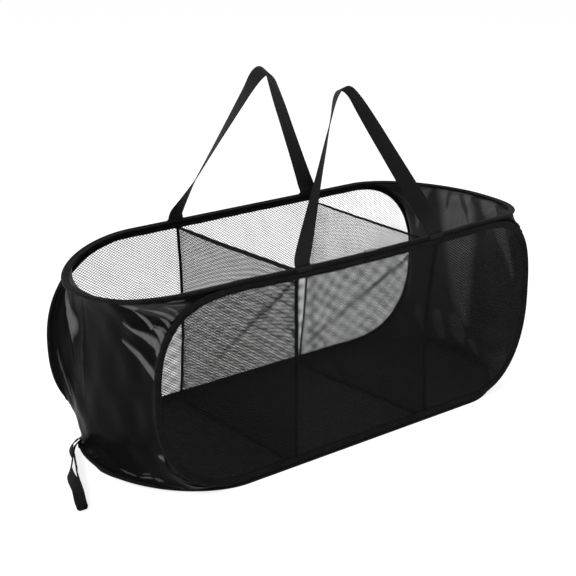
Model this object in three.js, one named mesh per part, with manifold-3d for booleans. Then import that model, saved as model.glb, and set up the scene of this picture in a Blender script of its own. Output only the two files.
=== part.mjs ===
// A pop up laundry hamper with three compartments. Four spring-steel loops in fabric bindings make its shape.
// The bottom and top loops lie flat, and the front and back loops stand between them.
// All sizes are in millimetres, with +Z up, +X along the hamper and -Y its front.
// The origin is on the ground, under the middle of the floor panel.
import * as THREE from 'three';
import { mergeVertices } from 'three/addons/utils/BufferGeometryUtils.js';
import Module from 'manifold-3d';

const wasm = await Module();
wasm.setup();

// Driving sizes of the hamper
const sewnHalfLength = 250;
const depth = 340;
const frameHeight = 326;
const dividerOffset = 150;

// How far the loops reach past the sewn length at their two ends
const bottomLeftReach = 172;
const bottomRightReach = 154;
const topLeftReach = 206;
const topRightReach = 168;
const frontLeftReach = 163;
const frontRightReach = 150;
const backLeftReach = 165;
const backRightReach = 162;

// How square the round ends are: two is a part of an ellipse, and more is nearer to a box
const bottomFrontSquareness = 1.8;
const bottomBackSquareness = 2.6;
const topFrontSquareness = 2.6;
const topBackSquareness = 1.7;
const frontLowerSquareness = 2.2;
const frontUpperSquareness = 2.9;
const backLowerSquareness = 2.4;
const backUpperSquareness = 2.2;

// Wires, the ferrules that close them, and the gap between pieces that touch
const seat = 0.3;
const wireRadius = 1.25;
const wireEndGap = 1;
const ferruleWall = 0.35;
const ferruleLength = 24;

// Tape, panels and nets
const tapeThickness = 0.8;
const bindingWidth = 12;
const bindingShoulder = 5;
const panelThickness = 1;
const floorDrop = 8;
const strandWidth = 8;
const netMargin = 4;
const sideNetColumns = 5;
const sideNetRows = 9;
const dividerNetColumns = 7;
const dividerNetRows = 7;
const cutOverrun = 1;
const seamWidth = 10;
const seamRise = 2.2;
const floorSeamRise = 1.2;
const edgeTapeHeight = 6;
const endPanelClearance = 1;
const endPanelFullness = 2.9;

// Webbing handles
const webbingWidth = 30;
const webbingThickness = 1.6;
const rootLap = 1;
const rootLift = 1.3;
const rootEndDrop = 0.5;
const rootStraight = 12;
const rootBend = 24;
const frontHandleRise = 260;
const backHandleRise = 256;
const frontHandleBend = 34;
const backHandleBend = 44;
const frontHandleLean = THREE.MathUtils.degToRad(16.5);
const backHandleLean = THREE.MathUtils.degToRad(-10.6);
const frontTwistPower = 2.8;
const backTwistPower = 3.4;

// Elastic closure loop, laid on the ground
const closureLength = 210;
const closureWidth = 14;
const closureThickness = 1.2;
const closureTabLength = 16;
const closureTabLap = 1;
const closureStraight = 6;
const groundClearance = 0.3;
const closurePlaceShare = 0.57;
const closureRouteShares = [[0, 0], [0.02, 0], [0.045, 0.05], [0.02, 0.3], [0.04, 0.66], [0.015, 1]];
const closureSplitShares = [[0, 0.3], [0.3, 0.09], [0.62, 0.34], [1, 0.2]];
const closureTurnShares = [[0, 0], [0.35, 0.1], [0.7, 0.6], [1, 0.8]];

// Facets
const quarterSteps = 8;
const wireSides = 6;
const ferruleSides = 12;
const headSteps = 4;
const cavitySteps = 6;
const endColumns = 14;
const endRows = 12;
const handleSteps = 52;
const closureSteps = 18;
const closureTurnSteps = 4;

// Sizes that follow from those above
const halfDepth = depth / 2;
const cavityRadius = wireRadius + seat + ferruleWall + seat;
const headRadius = cavityRadius + tapeThickness;
const loopStack = 2 * headRadius + seat;
const bottomLevel = headRadius;
const lowerLevel = bottomLevel + loopStack;
const upperLevel = lowerLevel + frameHeight;
const topLevel = upperLevel + loopStack;
const lipInside = panelThickness / 2 + seat;
const lipOutside = lipInside + tapeThickness;
const panelInset = cavityRadius + seat;

const group = new THREE.Group();

const finishes = {
  steel: { color: 0x6f7378, roughness: 0.35, metalness: 1 },
  tape: { color: 0x1b1b1c, roughness: 0.85, metalness: 0 },
  net: { color: 0x232324, roughness: 0.8, metalness: 0 },
  nylon: { color: 0x1d1d1f, roughness: 0.3, metalness: 0 },
  floorCloth: { color: 0x202021, roughness: 0.75, metalness: 0 },
  webbing: { color: 0x262627, roughness: 0.8, metalness: 0 },
  elastic: { color: 0x1f1f20, roughness: 0.8, metalness: 0 },
};

// Adds one named mesh with its own material.
function addPart(name, geometry, finish) {
  const mesh = new THREE.Mesh(geometry, new THREE.MeshStandardMaterial(finishes[finish]));
  mesh.name = name;
  group.add(mesh);
  return mesh;
}

// Six times the volume inside the triangles, negative where they face inward.
function signedVolume(points, faces) {
  const cross = new THREE.Vector3();
  let sum = 0;
  for (const [a, b, c] of faces) {
    sum += points[a].dot(cross.crossVectors(points[b], points[c]));
  }
  return sum;
}

// A geometry from points and triangles, turned so that its faces point out.
function closedGeometry(points, faces) {
  const outward = signedVolume(points, faces) > 0;
  const index = faces.flatMap(([a, b, c]) => (outward ? [a, b, c] : [a, c, b]));
  const geometry = new THREE.BufferGeometry();
  geometry.setAttribute('position', new THREE.Float32BufferAttribute(points.flatMap((p) => p.toArray()), 3));
  geometry.setIndex(index);
  geometry.computeVertexNormals();
  return geometry;
}

// Triangles between two rings of equal count that start at the two given indices.
function ringFaces(first, second, count) {
  const faces = [];
  for (let i = 0; i < count; i += 1) {
    const next = (i + 1) % count;
    faces.push([first + i, first + next, second + next], [first + i, second + next, second + i]);
  }
  return faces;
}

// Joins rings of points in turn. An open loft is capped by the triangles of its flat section.
function loft(rings, closed, section) {
  const count = rings[0].length;
  const faces = [];
  const spans = closed ? rings.length : rings.length - 1;
  for (let i = 0; i < spans; i += 1) {
    faces.push(...ringFaces(i * count, ((i + 1) % rings.length) * count, count));
  }
  if (!closed) {
    const last = (rings.length - 1) * count;
    for (const [a, b, c] of THREE.ShapeUtils.triangulateShape(section, [])) {
      faces.push([c, b, a], [last + a, last + b, last + c]);
    }
  }
  return closedGeometry(rings.flat(), faces);
}

// Carries a section along stations, each a point with an outward and a sideways direction.
function sweep(section, stations, closed) {
  const rings = stations.map(({ point, out, side }) => section.map((s) => (
    point.clone().addScaledVector(out, s.x).addScaledVector(side, s.y))));
  return loft(rings, closed, section);
}

// A number raised to the power that makes a round end of a given squareness, with its sign kept.
function rounded(value, squareness) {
  return Math.sign(value) * Math.abs(value) ** (2 / squareness);
}

// The reach and squareness of a loop's end on the side of its middle where a place lies.
function endShape(loop, end, away) {
  return {
    reach: end < 0 ? loop.leftReach : loop.rightReach,
    squareness: away < 0 ? loop.lowSquareness : loop.highSquareness,
  };
}

// A point of a loop's outline at an angle from the middle of its right end, anticlockwise.
function outlinePoint(loop, angle, end) {
  const { reach, squareness } = endShape(loop, end, Math.sin(angle));
  return new THREE.Vector2(
    end * sewnHalfLength + reach * rounded(Math.cos(angle), squareness),
    loop.halfWidth * rounded(Math.sin(angle), squareness),
  );
}

// A loop's outline: a round end on the right, one on the left, and straight stretches between them.
function loopOutline(loop) {
  const outline = [];
  for (const end of [1, -1]) {
    for (let i = -quarterSteps; i <= quarterSteps; i += 1) {
      const turn = (i / quarterSteps) * (Math.PI / 2);
      const angle = end > 0 ? turn : Math.PI + turn;
      outline.push(outlinePoint(loop, angle, end));
    }
  }
  return outline;
}

// The outward direction at each point of a closed anticlockwise outline.
function outwardDirections(outline) {
  return outline.map((point, i) => {
    const before = outline[(i + outline.length - 1) % outline.length];
    const after = outline[(i + 1) % outline.length];
    const into = point.clone().sub(before).normalize();
    const onward = after.clone().sub(point).normalize();
    const along = into.add(onward).normalize();
    return new THREE.Vector2(along.y, -along.x);
  });
}

// An outline moved inward by a distance.
function insetOutline(outline, distance) {
  const directions = outwardDirections(outline);
  return outline.map((point, i) => point.clone().addScaledVector(directions[i], -distance));
}

// The ways from a loop's own plane, where up is the hamper's back or its top, to the hamper.
function flatPlace(level) {
  return {
    put: (p) => new THREE.Vector3(p.x, p.y, level),
    turn: (d) => new THREE.Vector3(d.x, d.y, 0),
    side: new THREE.Vector3(0, 0, 1),
  };
}

function standingPlace(y) {
  return {
    put: (p) => new THREE.Vector3(p.x, y, (lowerLevel + upperLevel) / 2 + p.y),
    turn: (d) => new THREE.Vector3(d.x, 0, d.y),
    side: new THREE.Vector3(0, -1, 0),
  };
}

const loops = {
  bottom: {
    leftReach: bottomLeftReach,
    rightReach: bottomRightReach,
    lowSquareness: bottomFrontSquareness,
    highSquareness: bottomBackSquareness,
    halfWidth: halfDepth,
    ...flatPlace(bottomLevel),
  },
  top: {
    leftReach: topLeftReach,
    rightReach: topRightReach,
    lowSquareness: topFrontSquareness,
    highSquareness: topBackSquareness,
    halfWidth: halfDepth,
    ...flatPlace(topLevel),
  },
  front: {
    leftReach: frontLeftReach,
    rightReach: frontRightReach,
    lowSquareness: frontLowerSquareness,
    highSquareness: frontUpperSquareness,
    halfWidth: frameHeight / 2,
    ...standingPlace(-halfDepth),
  },
  back: {
    leftReach: backLeftReach,
    rightReach: backRightReach,
    lowSquareness: backLowerSquareness,
    highSquareness: backUpperSquareness,
    halfWidth: frameHeight / 2,
    ...standingPlace(halfDepth),
  },
};

function loopStations(loop, outline, directions) {
  return outline.map((point, i) => ({
    point: loop.put(point),
    out: loop.turn(directions[i]),
    side: loop.side,
  }));
}

// The wire runs once round and ends on both sides of a gap in the middle of one straight stretch.
function wireGeometry(loop) {
  const outline = loopOutline(loop);
  const directions = outwardDirections(outline);
  const squareOut = new THREE.Vector2(0, -1);
  outline.unshift(new THREE.Vector2(wireEndGap / 2, -loop.halfWidth));
  outline.push(new THREE.Vector2(-wireEndGap / 2, -loop.halfWidth));
  directions.unshift(squareOut);
  directions.push(squareOut);
  const section = [];
  for (let i = 0; i < wireSides; i += 1) {
    const angle = (i / wireSides) * 2 * Math.PI;
    section.push(new THREE.Vector2(Math.cos(angle), Math.sin(angle)).multiplyScalar(wireRadius));
  }
  return sweep(section, loopStations(loop, outline, directions), false);
}

// The ferrule is a short tube over the wire's two ends.
function ferruleGeometry(loop) {
  const inner = wireRadius + seat;
  const outer = inner + ferruleWall;
  const half = ferruleLength / 2;
  const profile = [[inner, -half], [outer, -half], [outer, half], [inner, half], [inner, -half]];
  const tube = new THREE.LatheGeometry(profile.map(([r, y]) => new THREE.Vector2(r, y)), ferruleSides);
  const place = loop.put(new THREE.Vector2(0, -loop.halfWidth));
  return tube.rotateZ(Math.PI / 2).translate(place.x, place.y, place.z);
}

// The binding is one tape folded round the wire, with two lips that hold the panel's edge.
function bindingSection() {
  const section = [];
  for (let i = 0; i <= headSteps; i += 1) {
    const angle = (i / headSteps - 1 / 2) * Math.PI;
    section.push(new THREE.Vector2(Math.cos(angle), Math.sin(angle)).multiplyScalar(headRadius));
  }
  section.push(new THREE.Vector2(-bindingShoulder, lipOutside), new THREE.Vector2(-bindingWidth, lipOutside));
  section.push(new THREE.Vector2(-bindingWidth, lipInside));
  const mouth = Math.PI - Math.asin(lipInside / cavityRadius);
  const cornerRadius = cavityRadius / Math.cos(mouth / cavitySteps);
  for (let i = 0; i <= cavitySteps; i += 1) {
    const angle = mouth * (1 - (2 * i) / cavitySteps);
    section.push(new THREE.Vector2(Math.cos(angle), Math.sin(angle)).multiplyScalar(cornerRadius));
  }
  section.push(new THREE.Vector2(-bindingWidth, -lipInside), new THREE.Vector2(-bindingWidth, -lipOutside));
  section.push(new THREE.Vector2(-bindingShoulder, -lipOutside));
  return section;
}

function bindingGeometry(loop) {
  const outline = loopOutline(loop);
  return sweep(bindingSection(), loopStations(loop, outline, outwardDirections(outline)), true);
}

// A closed geometry as a solid that can be cut.
function solidFrom(geometry) {
  geometry.deleteAttribute('normal');
  geometry.deleteAttribute('uv');
  const merged = mergeVertices(geometry);
  return new wasm.Manifold(new wasm.Mesh({
    numProp: 3,
    vertProperties: merged.attributes.position.array,
    triVerts: Uint32Array.from(merged.index.array),
  }));
}

// The cut solid's surface as a geometry.
function geometryFrom(solid) {
  const { vertProperties, triVerts } = solid.getMesh();
  const geometry = new THREE.BufferGeometry();
  geometry.setAttribute('position', new THREE.BufferAttribute(vertProperties, 3));
  geometry.setIndex(new THREE.BufferAttribute(triVerts, 1));
  geometry.computeVertexNormals();
  return geometry;
}

// Diamond gaps in staggered rows about a centre, wherever the test says that one fits.
function netGaps(step, centre, columns, rows, fits) {
  const gaps = [];
  const strand = strandWidth / Math.SQRT2;
  for (let column = -columns; column <= columns; column += 1) {
    for (let row = -rows; row <= rows; row += 1) {
      const middle = new THREE.Vector2(column * step.x, row * step.y).add(centre);
      const corners = [[1, 0], [0, 1], [-1, 0], [0, -1]].map(([x, y]) => (
        new THREE.Vector2(x * (step.x - strand), y * (step.y - strand)).add(middle)));
      if ((column + row) % 2 === 0 && corners.every(fits) && fits(middle)) {
        gaps.push(new THREE.Shape(corners));
      }
    }
  }
  return gaps;
}

// The step between staggered rows of gaps, so that a number of them just fills a width.
function netStep(width, count) {
  return (width + Math.SQRT2 * strandWidth) / (count + 1);
}

// A flat net: a sheet with its gaps cut through, lying about the plane z = 0.
function netGeometry(outline, gaps) {
  const cutDepth = panelThickness + 2 * cutOverrun;
  const shape = new THREE.Shape(outline);
  const sheet = new THREE.ExtrudeGeometry(shape, { depth: panelThickness, bevelEnabled: false });
  const cutters = new THREE.ExtrudeGeometry(gaps, { depth: cutDepth, bevelEnabled: false });
  cutters.translate(0, 0, -cutOverrun);
  const net = geometryFrom(solidFrom(sheet).subtract(solidFrom(cutters)));
  return net.translate(0, 0, -panelThickness / 2);
}

// True inside a loop's outline drawn in by a margin.
function insideLoop(point, loop, margin) {
  const { reach, squareness } = endShape(loop, point.x, point.y);
  const past = Math.max(0, Math.abs(point.x) - sewnHalfLength) / (reach - margin);
  const away = Math.abs(point.y) / (loop.halfWidth - margin);
  return past ** squareness + away ** squareness < 1;
}

// A front or back panel of mesh, left whole where the dividers are sewn to it.
function sideNetGeometry(loop) {
  const outline = insetOutline(loopOutline(loop), panelInset);
  const margin = bindingWidth + netMargin;
  const clearOfSeams = (p) => Math.abs(Math.abs(p.x) - dividerOffset) > seamWidth / 2;
  const fits = (p) => insideLoop(p, loop, margin) && clearOfSeams(p);
  const centre = new THREE.Vector2(0, 0);
  const netHeight = 2 * (loop.halfWidth - margin - seat);
  const step = new THREE.Vector2(dividerOffset / sideNetColumns, netStep(netHeight, sideNetRows));
  const longest = sewnHalfLength + Math.max(loop.leftReach, loop.rightReach);
  const columns = Math.floor(longest / step.x);
  const gaps = netGaps(step, centre, columns, sideNetRows, fits);
  const place = loop.put(centre);
  return netGeometry(outline, gaps).rotateX(Math.PI / 2).translate(place.x, place.y, place.z);
}

// The floor lies on the ground and rises at its edge into the bottom binding.
function floorGeometry() {
  const outline = loopOutline(loops.bottom);
  const edge = insetOutline(outline, panelInset);
  const lip = insetOutline(outline, bindingWidth + seat);
  const field = insetOutline(outline, bindingWidth + seat + floorDrop);
  const under = bottomLevel - panelThickness / 2;
  const over = bottomLevel + panelThickness / 2;
  const levels = [
    [field, 0], [lip, under], [edge, under],
    [edge, over], [lip, over], [field, panelThickness],
  ];
  const rings = levels.map(([ring, level]) => ring.map((p) => new THREE.Vector3(p.x, p.y, level)));
  return loft(rings, false, field);
}

// A nylon end: a sheet stretched between the round ends of the four loops, drawn in between them.
function endPanelGeometry(side) {
  const clear = headRadius + endPanelClearance;
  const halfAcross = halfDepth - clear;
  const middle = (bottomLevel + topLevel) / 2;
  const halfUp = (topLevel - bottomLevel) / 2 - clear;
  const pull = (share) => Math.sinh(endPanelFullness * share) / Math.sinh(endPanelFullness);
  const bend = (loop, share) => {
    const along = -Math.cos(Math.PI * share);
    const { reach, squareness } = endShape(loop, side, along);
    return {
      past: reach * rounded(Math.sin(Math.PI * share), squareness),
      away: rounded(along, squareness),
    };
  };
  const surface = (u, v) => {
    const bottom = bend(loops.bottom, u);
    const top = bend(loops.top, u);
    const front = bend(loops.front, v);
    const back = bend(loops.back, v);
    const flat = bottom.past * pull(1 - v) + top.past * pull(v);
    const standing = front.past * pull(1 - u) + back.past * pull(u);
    return new THREE.Vector3(
      side * (sewnHalfLength + flat + standing),
      halfAcross * THREE.MathUtils.lerp(bottom.away, top.away, v),
      middle + halfUp * THREE.MathUtils.lerp(front.away, back.away, u),
    );
  };
  const grid = [];
  for (let row = 0; row <= endRows; row += 1) {
    for (let column = 0; column <= endColumns; column += 1) {
      grid.push(surface(column / endColumns, row / endRows));
    }
  }
  return sheetGeometry(grid, endColumns + 1, endRows + 1, panelThickness);
}

// A sheet of even thickness about a grid of points.
function sheetGeometry(grid, columns, rows, thickness) {
  const at = (column, row) => grid[THREE.MathUtils.clamp(row, 0, rows - 1) * columns
    + THREE.MathUtils.clamp(column, 0, columns - 1)];
  const faceUp = [];
  for (let row = 0; row < rows; row += 1) {
    for (let column = 0; column < columns; column += 1) {
      const along = at(column + 1, row).clone().sub(at(column - 1, row));
      const up = at(column, row + 1).clone().sub(at(column, row - 1));
      faceUp.push(along.cross(up).normalize());
    }
  }
  const half = thickness / 2;
  const points = [
    ...grid.map((p, i) => p.clone().addScaledVector(faceUp[i], half)),
    ...grid.map((p, i) => p.clone().addScaledVector(faceUp[i], -half)),
  ];
  const faces = [];
  for (let row = 0; row < rows - 1; row += 1) {
    for (let column = 0; column < columns - 1; column += 1) {
      const a = row * columns + column;
      const b = a + grid.length;
      faces.push([a, a + 1, a + columns + 1], [a, a + columns + 1, a + columns]);
      faces.push([b, b + columns + 1, b + 1], [b, b + columns, b + columns + 1]);
    }
  }
  const border = [];
  for (let i = 0; i < columns - 1; i += 1) {
    border.push(i);
  }
  for (let i = 0; i < rows - 1; i += 1) {
    border.push(i * columns + columns - 1);
  }
  for (let i = columns - 1; i > 0; i -= 1) {
    border.push((rows - 1) * columns + i);
  }
  for (let i = rows - 1; i > 0; i -= 1) {
    border.push(i * columns);
  }
  border.forEach((a, i) => {
    const b = border[(i + 1) % border.length];
    faces.push([a, a + grid.length, b + grid.length], [a, b + grid.length, b]);
  });
  return closedGeometry(points, faces);
}

// A divider stands across the hamper, notched at its corners to clear the bindings.
function dividerGeometry(x) {
  const bottomTape = panelThickness + seat + floorSeamRise + seat;
  const edge = halfDepth - panelThickness / 2 - seat - seamRise - seat;
  const foot = halfDepth - bindingWidth - seat - floorDrop;
  const shoulder = halfDepth - bindingWidth - 2 * seat;
  const lip = halfDepth - bindingWidth - seat;
  const overLip = bottomLevel + lipOutside + seat;
  const overBinding = lowerLevel - headRadius;
  const underRim = topLevel - headRadius - seat;
  const crest = topLevel + edgeTapeHeight / 2 - tapeThickness - seat;
  const right = [
    [foot, bottomTape], [lip, overLip], [edge, overBinding],
    [edge, underRim], [shoulder, underRim], [shoulder, crest],
  ];
  const left = right.map(([y, z]) => [-y, z]).reverse();
  const outline = [...right, ...left].map(([y, z]) => new THREE.Vector2(y, z));
  const centre = new THREE.Vector2(0, (bottomLevel + topLevel) / 2);
  const netDepth = 2 * (foot - netMargin);
  const netHeight = 2 * (centre.y - bindingWidth - netMargin);
  const fits = (p) => (
    Math.abs(p.x) < netDepth / 2 + seat && Math.abs(p.y - centre.y) < netHeight / 2 + seat);
  const step = new THREE.Vector2(
    netStep(netDepth, dividerNetColumns),
    netStep(netHeight, dividerNetRows),
  );
  const gaps = netGaps(step, centre, dividerNetColumns, dividerNetRows, fits);
  return netGeometry(outline, gaps).rotateX(Math.PI / 2).rotateZ(Math.PI / 2).translate(x, 0, 0);
}

// A folded tape over a divider's top edge, open below.
function edgeTapeGeometry(x) {
  const inner = lipInside;
  const outer = lipOutside;
  const half = edgeTapeHeight / 2;
  const outline = [
    [-outer, -half], [-inner, -half], [-inner, half - tapeThickness], [inner, half - tapeThickness],
    [inner, -half], [outer, -half], [outer, half], [-outer, half],
  ];
  const section = outline.map(([across, up]) => new THREE.Vector2(across, up));
  const reach = halfDepth - bindingWidth - seat;
  const stations = [-reach, reach].map((y) => ({
    point: new THREE.Vector3(x, y, topLevel),
    out: new THREE.Vector3(1, 0, 0),
    side: new THREE.Vector3(0, 0, 1),
  }));
  return sweep(section, stations, false);
}

// A flat tape between two corners.
function boxBetween(low, high) {
  const size = high.clone().sub(low);
  const middle = low.clone().add(high).multiplyScalar(1 / 2);
  return new THREE.BoxGeometry(size.x, size.y, size.z).translate(middle.x, middle.y, middle.z);
}

// The tape that joins a divider to the front or back panel, between the two bindings' lips.
function uprightSeamGeometry(x, side) {
  const near = side * (halfDepth - panelThickness / 2 - seat);
  const far = near - side * seamRise;
  const low = lowerLevel + bindingWidth + seat;
  const high = upperLevel - bindingWidth - seat;
  return boxBetween(
    new THREE.Vector3(x - seamWidth / 2, Math.min(near, far), low),
    new THREE.Vector3(x + seamWidth / 2, Math.max(near, far), high),
  );
}

// The tape that joins a divider to the floor.
function floorSeamGeometry(x) {
  const reach = halfDepth - bindingWidth - seat - floorDrop;
  const low = panelThickness + seat;
  return boxBetween(
    new THREE.Vector3(x - seamWidth / 2, -reach, low),
    new THREE.Vector3(x + seamWidth / 2, reach, low + floorSeamRise),
  );
}

// A lap of webbing or elastic over the top and outer side of a binding.
function lapSection(thickness, lowest) {
  const section = [];
  const inner = headRadius + seat;
  const steps = headSteps + 1;
  const angles = [...Array(steps + 1).keys()].map((i) => Math.PI / 2 + (lowest - Math.PI / 2) * (i / steps));
  for (const angle of angles) {
    section.push(new THREE.Vector2(Math.cos(angle), Math.sin(angle)).multiplyScalar(inner));
  }
  for (const angle of angles.reverse()) {
    section.push(new THREE.Vector2(Math.cos(angle), Math.sin(angle)).multiplyScalar(inner + thickness));
  }
  return section;
}

// The sewn end of a handle on the top binding.
function handleRootGeometry(x, side) {
  const ends = [x - webbingWidth / 2, x + webbingWidth / 2];
  const stations = ends.map((place) => ({
    point: new THREE.Vector3(place, side * halfDepth, topLevel),
    out: new THREE.Vector3(0, side, 0),
    side: new THREE.Vector3(0, 0, 1),
  }));
  return sweep(lapSection(rootLap, -Math.PI / 8), stations, false);
}

// A ribbon of a given width and thickness along a line of points, each with its own width direction.
function ribbonGeometry(line, widthWays, width, thickness) {
  const stations = line.map((point, i) => {
    const before = line[Math.max(0, i - 1)];
    const after = line[Math.min(line.length - 1, i + 1)];
    const along = after.clone().sub(before).normalize();
    const out = widthWays[i].clone().addScaledVector(along, -widthWays[i].dot(along)).normalize();
    return { point, out, side: along.cross(out) };
  });
  const corners = [[-1, -1], [1, -1], [1, 1], [-1, 1]];
  const section = corners.map(([a, b]) => new THREE.Vector2((a * width) / 2, (b * thickness) / 2));
  return sweep(section, stations, false);
}

// A handle's line in its own plane: up from one root, over the top and down to the other.
function handleLine(rise, bend) {
  const slope = new THREE.Vector2(dividerOffset, rise).normalize();
  const apex = rise + (bend / 2) * slope.y;
  const leg = new THREE.Vector2(dividerOffset, apex - rootBend).normalize();
  const start = new THREE.Vector2(-dividerOffset, rootBend).addScaledVector(leg, rootBend - rootStraight);
  const shoulder = new THREE.Vector2(0, apex).addScaledVector(leg, -bend);
  const path = new THREE.Path();
  path.moveTo(-dividerOffset, -rootEndDrop);
  path.lineTo(-dividerOffset, rootStraight);
  path.quadraticCurveTo(-dividerOffset, rootBend, start.x, start.y);
  path.lineTo(shoulder.x, shoulder.y);
  path.quadraticCurveTo(0, apex, -shoulder.x, shoulder.y);
  path.lineTo(-start.x, start.y);
  path.quadraticCurveTo(dividerOffset, rootBend, dividerOffset, rootStraight);
  path.lineTo(dividerOffset, -rootEndDrop);
  return path.getSpacedPoints(handleSteps);
}

// The webbing lies across the hamper at the top and turns to lie along the rim at its roots.
function handleGeometry(side, rise, bend, lean, turnAt) {
  const line = handleLine(rise, bend);
  const root = new THREE.Vector3(0, side * halfDepth, topLevel + headRadius + seat + rootLap + rootLift);
  const along = new THREE.Vector3(1, 0, 0);
  const up = new THREE.Vector3(0, Math.sin(lean), Math.cos(lean));
  const face = new THREE.Vector3(0, Math.cos(lean), -Math.sin(lean));
  const place = (x, y) => new THREE.Vector3().addScaledVector(along, x).addScaledVector(up, y);
  const points = line.map((p) => place(p.x, p.y).add(root));
  const widthWays = line.map((p, i) => {
    const before = line[Math.max(0, i - 1)];
    const after = line[Math.min(line.length - 1, i + 1)];
    const tangent = after.clone().sub(before).normalize();
    const outer = place(-tangent.y, tangent.x);
    const turn = turnAt(Math.abs((2 * i) / handleSteps - 1)) * (Math.PI / 2);
    return face.clone().multiplyScalar(Math.cos(turn)).addScaledVector(outer, -Math.sin(turn));
  });
  return ribbonGeometry(points, widthWays, webbingWidth, webbingThickness);
}

// Reads a value from a table of shares by straight steps between its rows.
function readShares(table, share) {
  const next = Math.max(1, table.findIndex(([place]) => place >= share));
  const [fromPlace, fromValue] = table[next - 1];
  const [toPlace, toValue] = table[next];
  return THREE.MathUtils.mapLinear(share, fromPlace, toPlace, fromValue, toValue);
}

// The place of the closure loop on the bottom loop's left end, with its outward and onward directions.
function closurePlace() {
  const { reach, squareness } = endShape(loops.bottom, -1, closurePlaceShare);
  const angle = Math.PI - Math.asin(closurePlaceShare ** (squareness / 2));
  const here = outlinePoint(loops.bottom, angle, -1);
  const past = Math.abs(here.x) - sewnHalfLength;
  const slope = new THREE.Vector2(
    -(past ** (squareness - 1)) / reach ** squareness,
    here.y ** (squareness - 1) / halfDepth ** squareness,
  ).normalize();
  return { here, out: slope, onward: new THREE.Vector2(-slope.y, slope.x) };
}

// The closure loop's tab is a lap of elastic sewn over the bottom binding.
function closureTabGeometry() {
  const { here, out, onward } = closurePlace();
  const stations = [-closureTabLength / 2, closureTabLength / 2].map((along) => ({
    point: new THREE.Vector3(here.x + onward.x * along, here.y + onward.y * along, bottomLevel),
    out: new THREE.Vector3(out.x, out.y, 0),
    side: new THREE.Vector3(0, 0, 1),
  }));
  return sweep(lapSection(closureTabLap, -Math.PI / 16), stations, false);
}

// The closure loop is one band, laid out and back along the ground, turning from its edge to its face.
function closureLoopGeometry() {
  const { here, out, onward } = closurePlace();
  const start = headRadius + seat + closureTabLap + seat;
  const origin = here.clone().addScaledVector(out, start + closureStraight);
  const route = new THREE.CatmullRomCurve3(closureRouteShares.map(([away, along]) => {
    const spot = origin.clone().addScaledVector(out, away * closureLength);
    spot.addScaledVector(onward, along * closureLength);
    return new THREE.Vector3(spot.x, spot.y, 0);
  }));
  const upward = new THREE.Vector3(0, 0, 1);
  const frameAt = (share) => {
    const along = route.getTangentAt(share);
    const across = new THREE.Vector3().crossVectors(along, upward);
    const turn = readShares(closureTurnShares, share) * (Math.PI / 2);
    const face = across.clone().multiplyScalar(Math.cos(turn)).addScaledVector(upward, Math.sin(turn));
    const wide = upward.clone().multiplyScalar(Math.cos(turn)).addScaledVector(across, -Math.sin(turn));
    const split = readShares(closureSplitShares, share) * closureWidth;
    const rise = (closureWidth / 2) * Math.cos(turn) + (split + closureThickness) * Math.sin(turn);
    const lift = rise + closureThickness / 2 + groundClearance;
    const centre = route.getPointAt(share).addScaledVector(upward, lift);
    return { along, face, wide, split, centre };
  };
  const line = [];
  const widthWays = [];
  const add = (frame, along, away) => {
    line.push(frame.centre.clone().addScaledVector(frame.along, along).addScaledVector(frame.face, away));
    widthWays.push(frame.wide);
  };
  const first = frameAt(0);
  add(first, -closureStraight, first.split);
  for (let i = 0; i <= closureSteps; i += 1) {
    const frame = frameAt(i / closureSteps);
    add(frame, 0, frame.split);
  }
  const last = frameAt(1);
  for (let i = 1; i < closureTurnSteps; i += 1) {
    const angle = (i / closureTurnSteps) * Math.PI;
    add(last, last.split * Math.sin(angle), last.split * Math.cos(angle));
  }
  for (let i = closureSteps; i >= 0; i -= 1) {
    const frame = frameAt(i / closureSteps);
    add(frame, 0, -frame.split);
  }
  add(first, -closureStraight, -first.split);
  return ribbonGeometry(line, widthWays, closureWidth, closureThickness);
}

for (const [name, loop] of Object.entries(loops)) {
  addPart(`${name}_wire`, wireGeometry(loop), 'steel');
  addPart(`${name}_wire_ferrule`, ferruleGeometry(loop), 'steel');
  addPart(`${name}_binding`, bindingGeometry(loop), 'tape');
}
addPart('front_mesh_panel', sideNetGeometry(loops.front), 'net');
addPart('back_mesh_panel', sideNetGeometry(loops.back), 'net');
addPart('floor_panel', floorGeometry(), 'floorCloth');
for (const [name, side] of [['left', -1], ['right', 1]]) {
  const x = side * dividerOffset;
  addPart(`${name}_end_panel`, endPanelGeometry(side), 'nylon');
  addPart(`${name}_divider_mesh`, dividerGeometry(x), 'net');
  addPart(`${name}_divider_edge_tape`, edgeTapeGeometry(x), 'tape');
  addPart(`${name}_divider_front_seam`, uprightSeamGeometry(x, -1), 'tape');
  addPart(`${name}_divider_back_seam`, uprightSeamGeometry(x, 1), 'tape');
  addPart(`${name}_divider_floor_seam`, floorSeamGeometry(x), 'tape');
  addPart(`front_handle_${name}_root`, handleRootGeometry(x, -1), 'webbing');
  addPart(`back_handle_${name}_root`, handleRootGeometry(x, 1), 'webbing');
}
const turnHigh = (share) => 1 - (1 - share) ** frontTwistPower;
const turnLow = (share) => share ** backTwistPower;
const frontHandle = handleGeometry(-1, frontHandleRise, frontHandleBend, frontHandleLean, turnHigh);
const backHandle = handleGeometry(1, backHandleRise, backHandleBend, backHandleLean, turnLow);
addPart('front_handle', frontHandle, 'webbing');
addPart('back_handle', backHandle, 'webbing');
addPart('closure_tab', closureTabGeometry(), 'elastic');
addPart('closure_loop', closureLoopGeometry(), 'elastic');

export default group;
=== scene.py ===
"""The looks of a pop up laundry hamper: bands, meshes, nylon ends, webbing and elastic around its frame."""
import math

import bpy
import numpy as np
from mathutils import Matrix, Vector


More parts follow.
